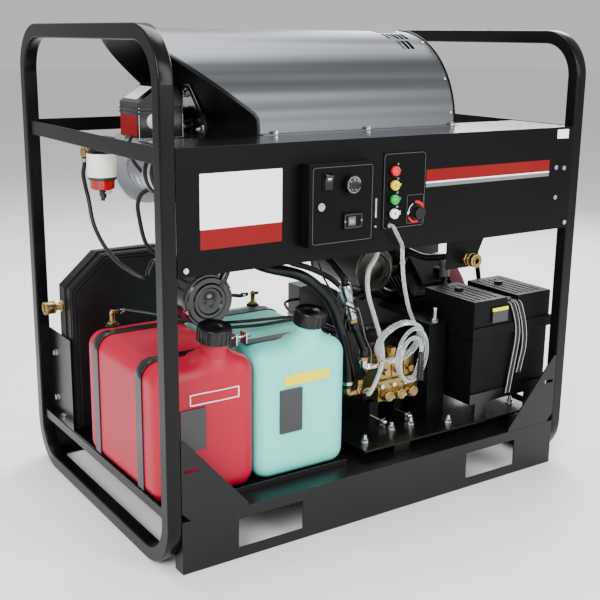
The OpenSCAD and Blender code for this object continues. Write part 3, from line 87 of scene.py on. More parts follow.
lamp("front_left_lamp", (-3.4, -2.4, 2.8), 2.2, 260)
lamp("front_right_lamp", (1.4, -4.0, 2.2), 2.4, 150)
lamp("overhead_lamp", (0.2, 0.9, 3.8), 2.6, 190)
lamp("rear_lamp", (2.8, 2.2, 2.4), 2.0, 120)

world = bpy.data.worlds.new("studio")
world.use_nodes = True
sky = world.node_tree.nodes["Background"].inputs
sky["Color"].default_value, sky["Strength"].default_value = (1, 1, 1, 1), 0.62
scene.world = world

floor_half = 30
floor_mesh = bpy.data.meshes.new("floor")
floor_mesh.from_pydata([(i * floor_half, j * floor_half, -0.001) for i, j in ((-1, -1), (1, -1), (1, 1), (-1, 1))],
                       [], [(0, 1, 2, 3)])
floor = add("floor", floor_mesh)


def shade(code):
    """Linear colour of a #rrggbb code: the display curve undone."""
    c = np.array([int(code[i:i + 2], 16) for i in (1, 3, 5)]) / 255
    return tuple(np.where(c <= 0.04045, c / 12.92, ((c + 0.055) / 1.055) ** 2.4).tolist()) + (1.0,)


def noise(mat, scale, detail, lay):
    """Noise node of a material, laid over the object's own coordinates."""
    texture = mat.node_tree.nodes.new("ShaderNodeTexNoise")
    texture.inputs["Scale"].default_value, texture.inputs["Detail"].default_value = scale, detail
    mat.node_tree.links.new(lay.outputs["Vector"], texture.inputs["Vector"])
    return texture


def emboss(mat, texture, strength, depth, target):
    """Bump node that lifts a noise by a depth in metres, into another node's normal."""
    bump = mat.node_tree.nodes.new("ShaderNodeBump")
    bump.inputs["Strength"].default_value, bump.inputs["Distance"].default_value = strength, depth
    mat.node_tree.links.new(texture.outputs["Fac"], bump.inputs["Height"])
    mat.node_tree.links.new(bump.outputs["Normal"], target.inputs["Normal"])


def finish(name, colour, rough, metal=0.0, mottle=0.12, patch=6.0, grain=500.0, relief=0.08,
           stretch=(1, 1, 1), coat=0.0, clear=0.0, scatter=0.0, shine=0.5):
    """Surface finish: a broad noise shifts the colour by the share mottle either way and
    the roughness by a sixth, and a fine noise lifts the grain as bump."""
    mat = bpy.data.materials.new(name)
    mat.use_nodes = True
    nodes, links = mat.node_tree.nodes, mat.node_tree.links
    shader = nodes["Principled BSDF"]
    place = nodes.new("ShaderNodeTexCoord")
    lay = nodes.new("ShaderNodeMapping")
    lay.inputs["Scale"].default_value = stretch
    links.new(place.outputs["Object"], lay.inputs["Vector"])
    cloud = noise(mat, patch, 4, lay)
    tone = nodes.new("ShaderNodeValToRGB")
    low, high = tone.color_ramp.elements
    low.position, high.position = 0.35, 0.65
    base = shade(colour)
    low.color = tuple(c * (1 - mottle) for c in base[:3]) + (1,)
    high.color = tuple(min(1, c * (1 + mottle)) for c in base[:3]) + (1,)
    links.new(cloud.outputs["Fac"], tone.inputs["Fac"])
    links.new(tone.outputs["Color"], shader.inputs["Base Color"])
    gloss = nodes.new("ShaderNodeMapRange")
    gloss.inputs["From Min"].default_value, gloss.inputs["From Max"].default_value = 0.3, 0.7
    gloss.inputs["To Min"].default_value, gloss.inputs["To Max"].default_value = rough * 0.84, rough * 1.16
    links.new(cloud.outputs["Fac"], gloss.inputs["Value"])
    links.new(gloss.outputs["Result"], shader.inputs["Roughness"])
    emboss(mat, noise(mat, grain, 2, lay), relief, 0.0008, shader)
    for entry, value in (("Metallic", metal), ("Specular IOR Level", shine), ("Coat Weight", coat),
                         ("Coat Roughness", 0.12), ("Transmission Weight", clear), ("Subsurface Weight", scatter),
                         ("Subsurface Radius", (0.02, 0.012, 0.008))):
        shader.inputs[entry].default_value = value
    return mat


floor_mesh.materials.append(finish("pale_floor", "#f4f4f4", 0.7, mottle=0.01, relief=0.0))

# ---- frame of bent tube ----
# Two closed loops of 34 mm square steel tube, welded to the rails, with the
# rounded corners that drawn tube has. Satin black powder coat all over.


def ease_edges(obj, width, steps):
    """Rounds an object's sharp edges by a width in millimetres."""
    edge = obj.modifiers.new("eased_edges", "BEVEL")
    edge.width, edge.segments = width / 1000, steps
    edge.limit_method, edge.angle_limit = "ANGLE", 0.6
    edge.harden_normals = True


def dress(node, material, ease=0.0, steps=2):
    """Gives a solid its finish. Where its real edges are rolled or broken, its triangles
    are joined to flat faces and the edges between these are rounded."""
    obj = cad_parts[node]
    for held in obj.material_slots:
        held.material = material
    if ease:
        obj.modifiers.new("joined", "WELD").merge_threshold = 1e-5
        flat = obj.modifiers.new("flat_faces", "DECIMATE")
        flat.decimate_type, flat.angle_limit = "DISSOLVE", 0.02
        ease_edges(obj, ease, steps)


satin_coat = finish("satin_powder_coat", "#0a0a0b", 0.27, shine=0.17, mottle=0.06, patch=3, grain=420, relief=0.10)
for node in ("left_end_loop", "right_end_loop"):
    dress(node, satin_coat, 4.0, 3)
dress("cross_rails", satin_coat, 0.8)

# ---- base skid ----
# Folded plate with a skirt at the front and the rear, cut for the forks of a lift
# truck, and four gusset plates. Welded, in the same coat as the frame.
base_coat = finish("base_powder_coat", "#080809", 0.36, shine=0.3, mottle=0.08, patch=4, grain=420, relief=0.14)
dress("base_skid", base_coat, 1.0)
dress("corner_gussets", base_coat, 1.0)

# ---- trays and engine deck ----
# Sheet tray under the fuel tanks and a thick plate for the engine, on rubber
# isolators. The plate's coat is a little glossier than the base.
deck_coat = finish("deck_coat", "#070708", 0.28, shine=0.36, mottle=0.1, patch=5, grain=380, relief=0.12)
plain_rubber = finish("plain_rubber", "#09090a", 0.6, shine=0.3, mottle=0.15, patch=20, grain=800, relief=0.2)
dress("tank_tray", deck_coat, 0.8)
dress("engine_deck", deck_coat, 1.2)
dress("deck_isolators", plain_rubber, 2.0)

# ---- front panel and top deck ----
# Folded 3 mm sheet. The panel carries a bare white and red label, a printed
# stripe and a small white label, all of thin film.
panel_coat = finish("panel_coat", "#070709", 0.4, shine=0.1, mottle=0.06, patch=3, grain=450, relief=0.12)
dress("control_panel", panel_coat, 1.2)
deck_top_coat = finish("deck_top_coat", "#09090b", 0.18, shine=0.4, mottle=0.08, patch=3, grain=450)
dress("top_deck", deck_top_coat, 0.8)

X, Y, Z = np.eye(3)
front_y = -405.5
film = 0.5


def unit(v):
    """A vector over its own length."""
    v = np.asarray(v, float)
    return v / np.linalg.norm(v)


def skin(rings, closed=False):
    """Quads between neighbouring rings of points, and a lid on each open end."""
    n, m = rings.shape[:2]
    i = np.arange(n if closed else n - 1)[:, None]
    s = np.arange(m)[None, :]
    here, there, beside = i * m, (i + 1) % n * m, (s + 1) % m
    faces = np.stack([here + s, here + beside, there + beside, there + s], -1).reshape(-1, 4).tolist()
    if not closed:
        faces += [list(range(m))[::-1], list(range((n - 1) * m, n * m))]
    return rings.reshape(-1, 3), faces


def piece(name, shape, material, body="frame", ease=0.0, steps=2, crease=35, stands_for=(), merge=False):
    """Makes a mesh of a shape's points and faces, faces outwards, in its finish and on its body."""
    mesh = bpy.data.meshes.new(name)
    mesh.from_pydata((np.asarray(shape[0]) * 0.001).tolist(), [], shape[1])
    whole = bmesh.new()
    whole.from_mesh(mesh)
    if merge:
        bmesh.ops.remove_doubles(whole, verts=whole.verts, dist=1e-6)
    bmesh.ops.recalc_face_normals(whole, faces=whole.faces)
    whole.to_mesh(mesh)
    whole.free()
    mesh.polygons.foreach_set("use_smooth", np.ones(len(mesh.polygons), bool))
    mesh.set_sharp_from_angle(angle=math.radians(crease))
    mesh.materials.append(material)
    obj = add(name, mesh)
    if ease:
        ease_edges(obj, ease, steps)
    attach(obj, body)
    if stands_for:
        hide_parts(*stands_for)
    return obj


def plate(outline, depth, at, u=X, v=Z):
    """Flat plate: an outline in the plane of u and v, carried by depth along u cross v."""
    flat = np.asarray(at, float) + np.asarray(outline, float) @ np.stack([unit(u), unit(v)])
    return skin(np.stack([flat, flat + depth * np.cross(unit(u), unit(v))]))


def rect(x0, x1, y0, y1):
    """Outline of a rectangle, counter-clockwise."""
    return [[x0, y0], [x1, y0], [x1, y1], [x0, y1]]


def round_rect(x0, x1, y0, y1, r, steps=6):
    """Outline of a rectangle with a quarter circle at each corner, counter-clockwise."""
    angle = np.radians((np.arange(4)[:, None] * 90 + np.linspace(0, 90, steps)).ravel())
    corner = np.array([[x1 - r, y1 - r], [x0 + r, y1 - r], [x0 + r, y0 + r], [x1 - r, y0 + r]])
    return np.repeat(corner, steps, 0) + r * np.stack([np.cos(angle), np.sin(angle)], -1)


def tile(x0, x1, z0, z1, r, depth, y):
    """Plate with round corners that faces the front, its back at y."""
    return plate(round_rect(x0, x1, z0, z1, r), depth, (0, y, 0))


white_film = finish("white_film", "#ffffff", 0.5, mottle=0.01, relief=0.02, coat=0.3)
red_film = finish("red_film", "#780005", 0.42, mottle=0.04, relief=0.02, shine=0.2)
grey_film = finish("grey_film", "#6b6c6e", 0.32, mottle=0.05, relief=0.02)
piece("label_white", tile(-523, -324, 768, 884, 2, film, front_y), white_film)
piece("label_red", tile(-523, -324, 726, 768, 2, film, front_y), red_film)
piece("label_small", tile(517, 558, 909, 932, 1, film, front_y), white_film)
for name, z0, z1, tint in (
        ("stripe_red", 828, 856, red_film), ("stripe_white", 823, 827, white_film),
        ("stripe_grey", 814, 822, grey_film)):
    piece(name, plate(rect(79, 494, z0, z1), film, (0, front_y, 0)), tint)

# ---- control box ----
# Shallow steel box with a hinged door: thermostat, rocker switch, hour meter and
# a quarter-turn latch. A thin grey line round the door's edge is a painted highlight; thin printed lines run round
# the knob and the nozzle plate.
door_y = -440.5
plate_y = -407.5


def square_to(axis):
    """Two unit vectors square to an axis and to each other."""
    side = unit(np.cross(axis, (0, 0, 1) if abs(unit(axis)[2]) < 0.9 else (1, 0, 0)))
    return side, np.cross(unit(axis), side)


def turned(profile, at, axis, sides=48, closed=False):
    """Turned part: each (along, radius) of the profile is carried in a circle round the axis."""
    a, b = square_to(axis)
    along, radius = np.asarray(profile, float).T
    angle = np.arange(sides) * 2 * np.pi / sides
    return skin(np.asarray(at, float) + along[:, None, None] * unit(axis)
                + radius[:, None, None] * (np.cos(angle)[:, None] * a + np.sin(angle)[:, None] * b), closed)


def together(*shapes):
    """Several surfaces as one set of points and faces."""
    points, faces, first = [], [], 0
    for p, f in shapes:
        points.append(p)
        faces += [[k + first for k in face] for face in f]
        first += len(p)
    return np.vstack(points), faces


def outline_strip(x0, x1, z0, z1, r, line, y):
    """Thin strip that follows a rounded rectangle, a line wide and 0.3 mm proud."""
    outer, inner = round_rect(x0, x1, z0, z1, r), round_rect(x0 + line, x1 - line, z0 + line, z1 - line, r - line)
    at = lambda o, d: np.stack([o[:, 0], np.full(len(o), y - d), o[:, 1]], -1)
    return skin(np.stack([at(inner, 0), at(outer, 0), at(outer, 0.3), at(inner, 0.3)]), closed=True)


grey_print_and_edge_highlight = finish("grey_print_and_edge_highlight", "#55575a", 0.4, relief=0.0)
door_print = finish("door_print", "#060607", 0.44, shine=0.08, mottle=0.04, grain=900, relief=0.06)
dress("control_box", panel_coat, 1.2)
dress("control_door", door_print, 1.0)
dress("nozzle_plate", door_print, 0.6)
# Painted highlight: a light grey line round the door where its edge catches the light.
piece("door_edge_highlight", outline_strip(-268, -107, 716, 884, 7, 0.8, door_y), grey_print_and_edge_highlight, "control_door")
piece("knob_line", outline_strip(22, 72, 733, 800, 4, 0.7, plate_y), grey_print_and_edge_highlight)
piece("nozzle_line", outline_strip(-48, 74, 726, 899, 8, 0.8, plate_y), grey_print_and_edge_highlight)
bright_zinc = finish("bright_zinc", "#c9ccd0", 0.24, metal=1.0, patch=30, grain=300)
switch_black = finish("switch_black", "#060607", 0.28, shine=0.4, grain=1200, relief=0.06)
piece("hinge_barrel", together(*[
    turned([(z0, 1.2), (z0 + 0.6, 2.7), (z1 - 0.6, 2.7), (z1, 1.2)], (-96, -440.6, 0), Z, 16)
    for z0, z1 in ((740, 745), (762, 784), (785, 807))]), bright_zinc)
dress("door_latch", bright_zinc, 0.8)
dress("rocker_switch", switch_black, 0.8)
dress("thermostat_knob", switch_black, 1.0)
dress("detergent_knob", switch_black, 1.0)

slope_up = unit([0, -0.139, 0.99])
for name, glass, tint, tall, depth, y, z in (
        ("rocker_window", "rocker_lens", "#d9d4d4", 8, 0.6, -445.6, 857),
        ("rocker_window_red", "lens_red", "#8c1020", 3, 0.7, -445.3, 855)):
    piece(name, plate(rect(-5, 5, 0, tall), depth, (-228, y, z), X, slope_up),
          finish(glass, tint, 0.15, mottle=0.05, coat=0.8), "rocker_switch")

dial = np.array([-170.0, -457.8, 844.0])
dial_print = finish("dial_print", "#e6e6e6", 0.4, relief=0.0)


def arc_band(centre, r0, r1, from_a, to_a, steps=14):
    """Flat band between two radii, from one angle to the other."""
    a = np.radians(np.linspace(from_a, to_a, steps))
    ring = np.stack([np.cos(a), np.sin(a)], -1)
    return plate(np.vstack([r1 * ring, r0 * ring[::-1]]), 0.3, centre)


def dial_ticks(count, r0, r1, half, first=0.0, span=360.0):
    """Short bars that stand on rays from the dial's middle, evenly round the span."""
    bars = []
    for a in np.radians(first + span * np.arange(count) / count):
        ray, beside = np.cos(a) * X + np.sin(a) * Z, -np.sin(a) * X + np.cos(a) * Z
        bars.append(plate(rect(r0, r1, -half, half), 0.25, dial, ray, beside))
    return together(*bars)


piece("dial_scale", together(
    dial_ticks(40, 16.4, 18, 0.28, 20, 320), dial_ticks(8, 15.2, 18, 0.4, 20, 320),
    plate([[-1.1, 10], [1.1, 10], [0, 14]], 0.3, dial)),
    dial_print, "thermostat_knob")


def figure(text, at, height, body, name):
    """Plain number for a scale: the built-in letter shapes made a flat mesh, facing the front."""
    curve = bpy.data.curves.new(name, "FONT")
    curve.body, curve.size, curve.align_x, curve.align_y = text, height / 1000, "CENTER", "CENTER"
    maker = add(name, curve)
    bpy.context.view_layer.update()
    mesh = bpy.data.meshes.new_from_object(maker)
    bpy.data.objects.remove(maker)
    mesh.transform(Matrix.Translation(Vector(at) / 1000) @ Matrix.Rotation(math.pi / 2, 4, "X"))
    mesh.materials.clear()
    mesh.materials.append(dial_print)
    obj = add(name, mesh)
    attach(obj, body)


for k, text in enumerate(("100", "140", "180", "220")):
    a = math.radians(245 - 103 * k)
    figure(text, dial + [11.6 * math.cos(a), -0.35, 11.6 * math.sin(a)], 2.4, "thermostat_knob", f"dial_figure_{k}")
for k, text in enumerate(("40", "25", "15", "0")):
    figure(text, (-8, plate_y - 0.3, 775 + 33 * k), 6, "frame", f"nozzle_figure_{k}")

meter_y = -446.5
meter_glass = finish("meter_glass", "#3d413f", 0.18, mottle=0.06, coat=0.9)
meter_rim = finish("meter_rim", "#0e0f10", 0.25, coat=0.2)
piece("meter_frame", outline_strip(-186, -138, 746, 778, 5, 3.2, -446.4), meter_rim,
      "control_door", ease=0.1)
piece("meter_window", tile(-176, -156, 752, 772, 1.5, 0.5, meter_y), meter_glass, "control_door")
piece("meter_digits", tile(-173, -159, 757, 766, 1, 0.8, meter_y),
      finish("meter_digits", "#7d8580", 0.3, mottle=0.2, patch=300, relief=0.0), "control_door")
piece("meter_ears", together(*[
    turned([(0, 3), (0.6, 3), (0.8, 2)], (x, meter_y, 762), -Y, 20) for x in (-184.5, -139.5)]),
    grey_print_and_edge_highlight, "control_door")

# ---- spray nozzles and detergent knob ----
# Four quick-change nozzles with coloured six-sided collars, held in rubber
# bushings, and the metering knob between its printed arcs.
for k, (node, tint) in enumerate((
        ("nozzle_white", "#f0f0f0"), ("nozzle_green", "#009a38"), ("nozzle_yellow", "#edc500"),
        ("nozzle_red", "#d0000c"))):
    mouth = (-21, -410.5, 761 + 33 * k)
    gloss = finish(node + "_gloss", tint, 0.3, mottle=0.04, patch=60, shine=0.35, coat=0.15, relief=0.03)
    dress(node, gloss, 1.2)
    piece(node + "_collar", turned([(0, 11.6), (7.6, 11.6), (9.2, 10), (9.2, 4.4), (6.4, 4.2)], mouth, -Y, 6),
          gloss, node, ease=0.8)
    piece(node + "_tip", turned([(3, 4.1), (7.4, 4.1), (8, 3.4), (8, 1.2), (5, 1.0)], mouth, -Y, 20),
          bright_zinc, node)
    spread = 5 - 1.5 * k
    piece(node + "_fan", plate([[-5, -0.5], [8, -spread], [5.4, 0], [8, spread], [-5, 0.5]], 0.3,
          (-4, plate_y, mouth[2])), gloss)


knob_at = (50, plate_y, 758)
piece("knob_arcs", together(arc_band(knob_at, 20.5, 27.5, 22, 98), arc_band(knob_at, 20.5, 26, 205, 285)),
      finish("arc_print", "#d4000a", 0.5, shine=0.1, relief=0.0))
piece("knob_arrow", together(
    arc_band(knob_at, 21.5, 23.5, 115, 170), plate([[-27, 2], [-18, 4], [-23.5, -5]], 0.3, knob_at)),
    dial_print)
piece("hose_bushing", turned(
    [(0, 8.6), (1, 9.4), (4.2, 9.4), (5.6, 7.6), (5.6, 5.2), (0, 5.2)], (-31, plate_y, 734), -Y, 32, closed=True),
    plain_rubber)

# ---- detergent hose ----
# One length of clear soft tube: out of the bushing in the nozzle plate, down to a
# cable tie, four loops hung from the tie, and a black strainer pushed on its end.
hose_d = 9.5
exit_point = np.array([-31, -411.5, 734])
tie = np.array([80, -398.25, 449.2])
tie_run = np.array([0.05, 0.34, -0.94])


def units(rows):
    """Each row of an array over its own length."""
    return rows / np.linalg.norm(rows, axis=1)[:, None]


def flow(points, steps=6):
    """Smooth line through chosen points: each stretch is the cubic that leaves a point
    along the line between its two neighbours, cut into equal steps."""
    p = np.asarray(points, float)
    q = np.vstack([p[:1], p, p[-1:]])
    t = np.linspace(0, 1, steps, endpoint=False)[:, None, None]
    a, b, c, d = q[:-3], q[1:-2], q[2:-1], q[3:]
    line = 0.5 * (2 * b + (c - a) * t + (2 * a - 5 * b + 4 * c - d) * t ** 2
                  + (3 * b - a - 3 * c + d) * t ** 3)
    return np.vstack([line.transpose(1, 0, 2).reshape(-1, 3), p[-1:]])


def tube(path, radius, sides=16):
    """Round tube: circles stand square to the path on side vectors that are carried
    along it without twist. The radius is one number or one for each point."""
    path = np.asarray(path, float)
    run = units(np.gradient(path, axis=0))
    side = np.empty_like(path)
    side[0] = square_to(run[0])[0]
    for i in range(1, len(path)):
        side[i] = unit(side[i - 1] - side[i - 1] @ run[i] * run[i])
    other = np.cross(run, side)
    angle = np.arange(sides) * 2 * np.pi / sides
    around = np.cos(angle)[:, None] * side[:, None] + np.sin(angle)[:, None] * other[:, None]
    return skin(path[:, None] + np.broadcast_to(radius, len(path))[:, None, None] * around)


def smooth(x):
    """Climbs from 0 to 1 as x does, level at both ends: three squares less two cubes."""
    c = np.clip(x, 0, 1)
    return c * c * (3 - 2 * c)


def hung_loops(t):
    """Loops below the tie after t turns: circles of 60 mm that lean to the front, then of
    63 mm that hang upright, each a step in front of the last, the last half turn drawn in."""
    w = smooth((t - 1.8) / 0.51)
    swing, lean, droop = np.radians(np.array([-6, 21.8, 8.3])[:, None]
                                    + np.array([24, -21.8, 16.7])[:, None] * w)
    side = np.stack([np.cos(swing), np.sin(swing), 0 * t], -1)
    up = np.stack([np.sin(lean) * np.sin(swing), -np.sin(lean) * np.cos(swing), np.cos(lean)], -1)
    r = 60 + 3 * w
    inner = r - 50 * smooth((t - 3.5) / 0.8)
    q = droop - 2 * np.pi * t
    mix = lambda angle: np.cos(angle)[:, None] * side + np.sin(angle)[:, None] * up
    centre = tie - t[:, None] * np.array([2, 12.2, 0]) - r[:, None] * mix(droop)
    return centre + inner[:, None] * mix(q)


drop = flow([exit_point, [-31, -424, 733], [-27, -428, 724], [-12, -424, 704], [3, -418, 684],
             [9, -414, 650], [14, -413, 610], [23, -412, 570], [35, -411, 530], [49, -410, 500],
             [64, -407, 478], tie - 22 * tie_run, tie - 11 * tie_run, tie], 5)
loops = hung_loops(np.arange(0, 97) / 24)
strainer_run = np.array([-0.2034, -0.2079, -0.9568])
strainer_top = loops[-1] + hose_d * strainer_run
hose_line = np.vstack([drop, loops[1:], strainer_top[None]])

clear_hose = finish("clear_hose", "#e4e9ec", 0.12, mottle=0.04, clear=0.82, relief=0.02, grain=120, coat=0.4)
black_moulding = finish("black_moulding", "#070708", 0.32, shine=0.4, grain=900, relief=0.12)
detergent_line = piece(
    "detergent_line", tube(hose_line, hose_d / 2, 14), clear_hose,
    stands_for=("detergent_hose", "detergent_hose_coil"))
ribs = [(-2, 5.4), (0, 7), (20, 7), (22, 9)]
for k in range(7):
    ribs += [(24 + 6 * k, 9), (25 + 6 * k, 7.8), (28 + 6 * k, 7.8), (29 + 6 * k, 9)]
strainer = piece(
    "strainer", turned(ribs + [(65, 9), (66, 7.5)], strainer_top, strainer_run, 28), black_moulding,
    stands_for=("hose_strainer",))
cable_tie = piece("cable_tie", together(
    turned([(-1.5, 5.0), (-1.5, 6.2), (1.5, 6.2), (1.5, 5.0)], tie, tie_run, 24, closed=True),
    turned([(-3, 2.2), (-3, 3), (3, 3), (3, 2.2)], tie + [6.5, 0, 0], (0, 1, 0), 4)), black_moulding)
bead_at = 26
hose_bead = piece("hose_bead", turned(
    [(-4, 5), (-3, 6.4), (3, 6.4), (4, 5)], drop[bead_at], drop[bead_at + 1] - drop[bead_at - 1], 20, closed=True),
    clear_hose)

# ---- coil drum and its wrap ----
# Brushed stainless sheet bent over the drum in faint broad bands, a black trim and
# liner on the sloped visor, and a row of pop rivets. The heating coil lies inside.
brushed = finish("brushed_stainless", "#5f6266", 0.46, metal=1.0, mottle=0.3, patch=2.6, grain=60, relief=0.03,
                 stretch=(0.08, 6, 6))
sheet = brushed.node_tree.nodes
emboss(brushed, noise(brushed, 2.4, 1, sheet["Mapping"]), 0.9, 0.02, sheet["Bump"])
dress("coil_wrap", brushed)
dress("coil_drum", panel_coat)
deck_z, drum_r, drum_x0, drum_x1 = 938, 235, -280, 312
visor_x, slope_low, slope_per_x = -534, 978, 195 / 260


def visor_edge(r):
    """Line where a half cylinder of radius r meets the visor's slope: at each angle round
    the drum, x runs from the drum's end to the visor's tip as the height climbs the slope."""
    a = np.linspace(0, np.pi, 65)
    z = deck_z + r * np.sin(a)
    x = drum_x0 - (z - slope_low) / slope_per_x
    return np.stack([np.clip(x, visor_x, drum_x0), -r * np.cos(a), z], -1)


def trim(line, width, height, across):
    """Strip of rectangular section along a line, its width along one direction at each point."""
    across = np.broadcast_to(across, line.shape)
    lift = units(np.cross(units(np.gradient(line, axis=0)), across))
    corner = ((-0.5, -0.5), (0.5, -0.5), (0.5, 0.5), (-0.5, 0.5))
    return skin(np.stack([line + width * i * across + height * j * lift for i, j in corner], 1))


edge_line = visor_edge(drum_r - 0.4)
radial = units((edge_line - [0, 0, deck_z]) * [0, 1, 1])
piece("visor_trim", trim(edge_line, 5, 9, radial), satin_coat, ease=1.6)
inner_edge = visor_edge(drum_r - 2.3)
liner = np.stack([inner_edge, np.column_stack([np.full(65, drum_x0 - 3.2), inner_edge[:, 1:]])])
liner_back = liner - radial * 0.8
piece("visor_liner", skin(np.stack([*liner, *liner_back[::-1]]), closed=True), panel_coat)
piece("wrap_rivets", together(*[
    turned([(0, 4), (0.8, 3.6), (1.6, 1.5)], (drum_x1 - 8, drum_r * math.cos(a), deck_z + drum_r * math.sin(a)),
           (0, math.cos(a), math.sin(a)), 12) for a in np.radians([8, 30, 62, 90, 118, 150, 172])]),
    bright_zinc)
flange_line = np.array([(-285.2, 119, 1035), (-285.2, 88, 1036), (-285.2, 3, 952), (-285.2, -2, 941)])
piece("flange_edge", trim(flange_line, 4, 2, X), bright_zinc)
turns, coil_r, end_gap = 9, 216.85, 38.35
wound = np.linspace(0, turns, turns * 40 + 1)
pipe_path = np.stack([drum_x0 + end_gap + wound * (drum_x1 - drum_x0 - 2 * end_gap) / turns,
                      coil_r * np.cos(2 * np.pi * wound), deck_z + coil_r * np.sin(2 * np.pi * wound)], -1)
piece("coil_pipe", tube(pipe_path, 13.35, 14), finish("scaled_pipe", "#4d4f52", 0.5, metal=0.8, patch=20),
      stands_for=("heating_coil",))

# ---- burner ----
# Cast blower housing with a direct-current motor in rubber bands, an ignition box
# on top with bare labels, and a square flange bolted to the drum's end plate.
gloss_black = finish("gloss_black", "#050506", 0.2, shine=0.45, mottle=0.1, patch=12, relief=0.03, coat=0.25)
cast_alloy = finish("cast_alloy", "#b9bcc0", 0.38, metal=0.85, mottle=0.1, patch=14, grain=260, relief=0.14)
burner = np.array([-442.0, 0.0, 850.0])
dress("burner_housing", cast_alloy, 1.5)
dress("blower_wheel", cast_alloy)
motor = [(-185, 0.2), (-185, 20), (-181, 24), (-181, 46), (-177, 54), (-170, 57)]
for y in (-150, -118, -86, -54, -22):
    motor += [(y - 2, 58), (y, 57), (y + 2, 58)]
piece("motor_shell", turned(motor + [(-4, 58), (-1, 56), (-1, 0.2)], burner, Y, 56), cast_alloy,
      stands_for=("burner_motor",))
piece("motor_bands", together(*[
    turned([(y, 57.6), (y, 61), (y + 1, 61.8), (y + 13, 61.8), (y + 14, 61), (y + 14, 57.6)],
           burner, Y, 56, closed=True) for y in (-145, -108)]), plain_rubber)
piece("motor_saddle", together(
    plate([[-26, -66], [26, -66], [18, -56], [-18, -56]], 50, burner + [0, -95, 0]),
    plate(rect(-34, -22, -74, -58), 22, burner + [0, -100, 0])), gloss_black,
    ease=1.5)
piece("ignition_cover", together(
    plate(round_rect(-503.6, -390.4, -80.6, 25, 4), 70, (0, 0, 925.5), X, Y),
    *[plate(round_rect(-505.6, -388.4, -82.6, 27, 5), 5, (0, 0, z), X, Y) for z in (979, 987)],
    plate([[-503.6, 995], [-390.4, 995], [-390.4, 1046], [-445, 1046], [-503.6, 1005.5]], 105, (0, 24.5, 0))),
    gloss_black, ease=1.0)
piece("ignition_label", plate(rect(-20, 72, 928, 976), 0.6, (-503.6, 0, 0), -Y, Z),
      red_film)
piece("ignition_label_top", plate(rect(12, 60, -20, 50), 0.6, (-503.6, 0, 1005.6), (58.6, 0, 40.5), -Y),
      white_film)
piece("ignition_button", turned([(0, 18), (3, 18), (7, 15), (9.5, 9), (10.5, 0.3)], (-466, -80.6, 964), -Y, 32),
      finish("grey_button", "#a9adb0", 0.35, relief=0.03))
piece("air_tube_sleeve", turned(
    [(-391, 36.6), (-391, 44), (-372, 50), (-330, 50), (-322, 42), (-322, 36.6)], (0, 37.5, deck_z), X, 48,
    closed=True), gloss_black)
piece("motor_cable", tube(flow([
    (-470, -50, 802), (-486, -46, 792), (-494, -42, 770), (-491, -40, 738), (-479, -42, 680), (-460, -50, 650),
    (-425, -66, 636), (-375, -85, 637), (-305, -110, 658), (-232, -148, 690), (-206, -152, 705)], 8), 5, 12),
    plain_rubber)
piece("burner_leads", together(
    tube(flow([(-400, -60, 946), (-380, -70, 960), (-352, -50, 962), (-340, -20, 950)], 8), 3.2, 10),
    tube(flow([(-498, -40, 935), (-512, -46, 915), (-514, -60, 880), (-500, -80, 850)], 8), 4, 10)),
    plain_rubber)

# ---- fuel filter ----
# Spin-on white canister under a cast head, a clear red bowl with a pale plug, and
# a black drain with wings. A long brass elbow takes the diesel hose.
filter_at = np.array([-568.0, -12.0, 0.0])
white_paint = finish("white_paint", "#e9e7de", 0.28, mottle=0.03, patch=20, coat=0.4, relief=0.03)
brass = finish("brass", "#988252", 0.3, metal=1.0, mottle=0.16, patch=26, grain=300, relief=0.1)
piece("filter_can", turned(
    [(835, 0.2), (835, 31), (836, 34), (839, 35), (888, 35), (891, 34), (893, 30), (893, 0.2)], filter_at, Z, 56),
    white_paint, stands_for=("filter_canister",))
piece("filter_rings", together(*[turned(ring, filter_at, Z, 56, closed=True) for ring in (
    [(829, 28), (829, 32.6), (831, 33.8), (835, 33.8), (836, 31)],
    [(890, 28), (890, 34.6), (892, 35.2), (895, 33), (896, 28)])]), gloss_black)
piece("filter_head", together(
    turned([(892, 0.2), (892, 28), (900, 28), (903, 24), (903, 0.2)], filter_at, Z, 40),
    plate(round_rect(-599, -543, -37, 13, 5), 25, (0, 0, 902), X, Y)),
    finish("head_casting", "#17171a", 0.42, mottle=0.1, grain=240, relief=0.25), ease=1.2)
red_bowl = finish("red_bowl", "#a80008", 0.14, mottle=0.35, patch=26, clear=0.12, coat=0.3, relief=0.0)
piece("bowl_shell", turned(
    [(805, 0.2), (805, 22), (806.5, 26), (809, 28), (829, 28.8), (831, 29), (831, 0.2)], filter_at, Z, 56),
    red_bowl, stands_for=("filter_bowl",))
piece("bowl_plug", turned([(796, 0.2), (796, 4), (797, 4.6), (806, 4.6), (806, 0.2)], filter_at + [13, -9, 0], Z, 20),
      finish("pale_plug", "#b4b9bc", 0.25, relief=0.02))
dress("drain_valve", black_moulding, 0.8)
elbow = filter_at + [-6, 0, 899]
piece("filter_elbow", together(
    tube(flow([elbow + [0, 22, 0], elbow + [0, 50, 0], elbow + [0, 80, 0], elbow + [0, 90, -3],
               elbow + [0, 92, -10], elbow + [0, 92, -20]], 4), 6.6, 16),
    turned([(55, 9.4), (56, 10), (66, 10), (67, 9.4)], elbow, Y, 6),
    turned([(-26, 7.6), (-25, 8.4), (-10, 8.4), (-9, 7.6)], elbow + [0, 92, 0], Z, 6)), brass,
    ease=0.4)

# ---- fuel tanks ----
# Two blow-moulded polyethylene tanks, translucent red and pale mint. The filler
# neck leans to the front and swells out of the shoulder; bare film patches.


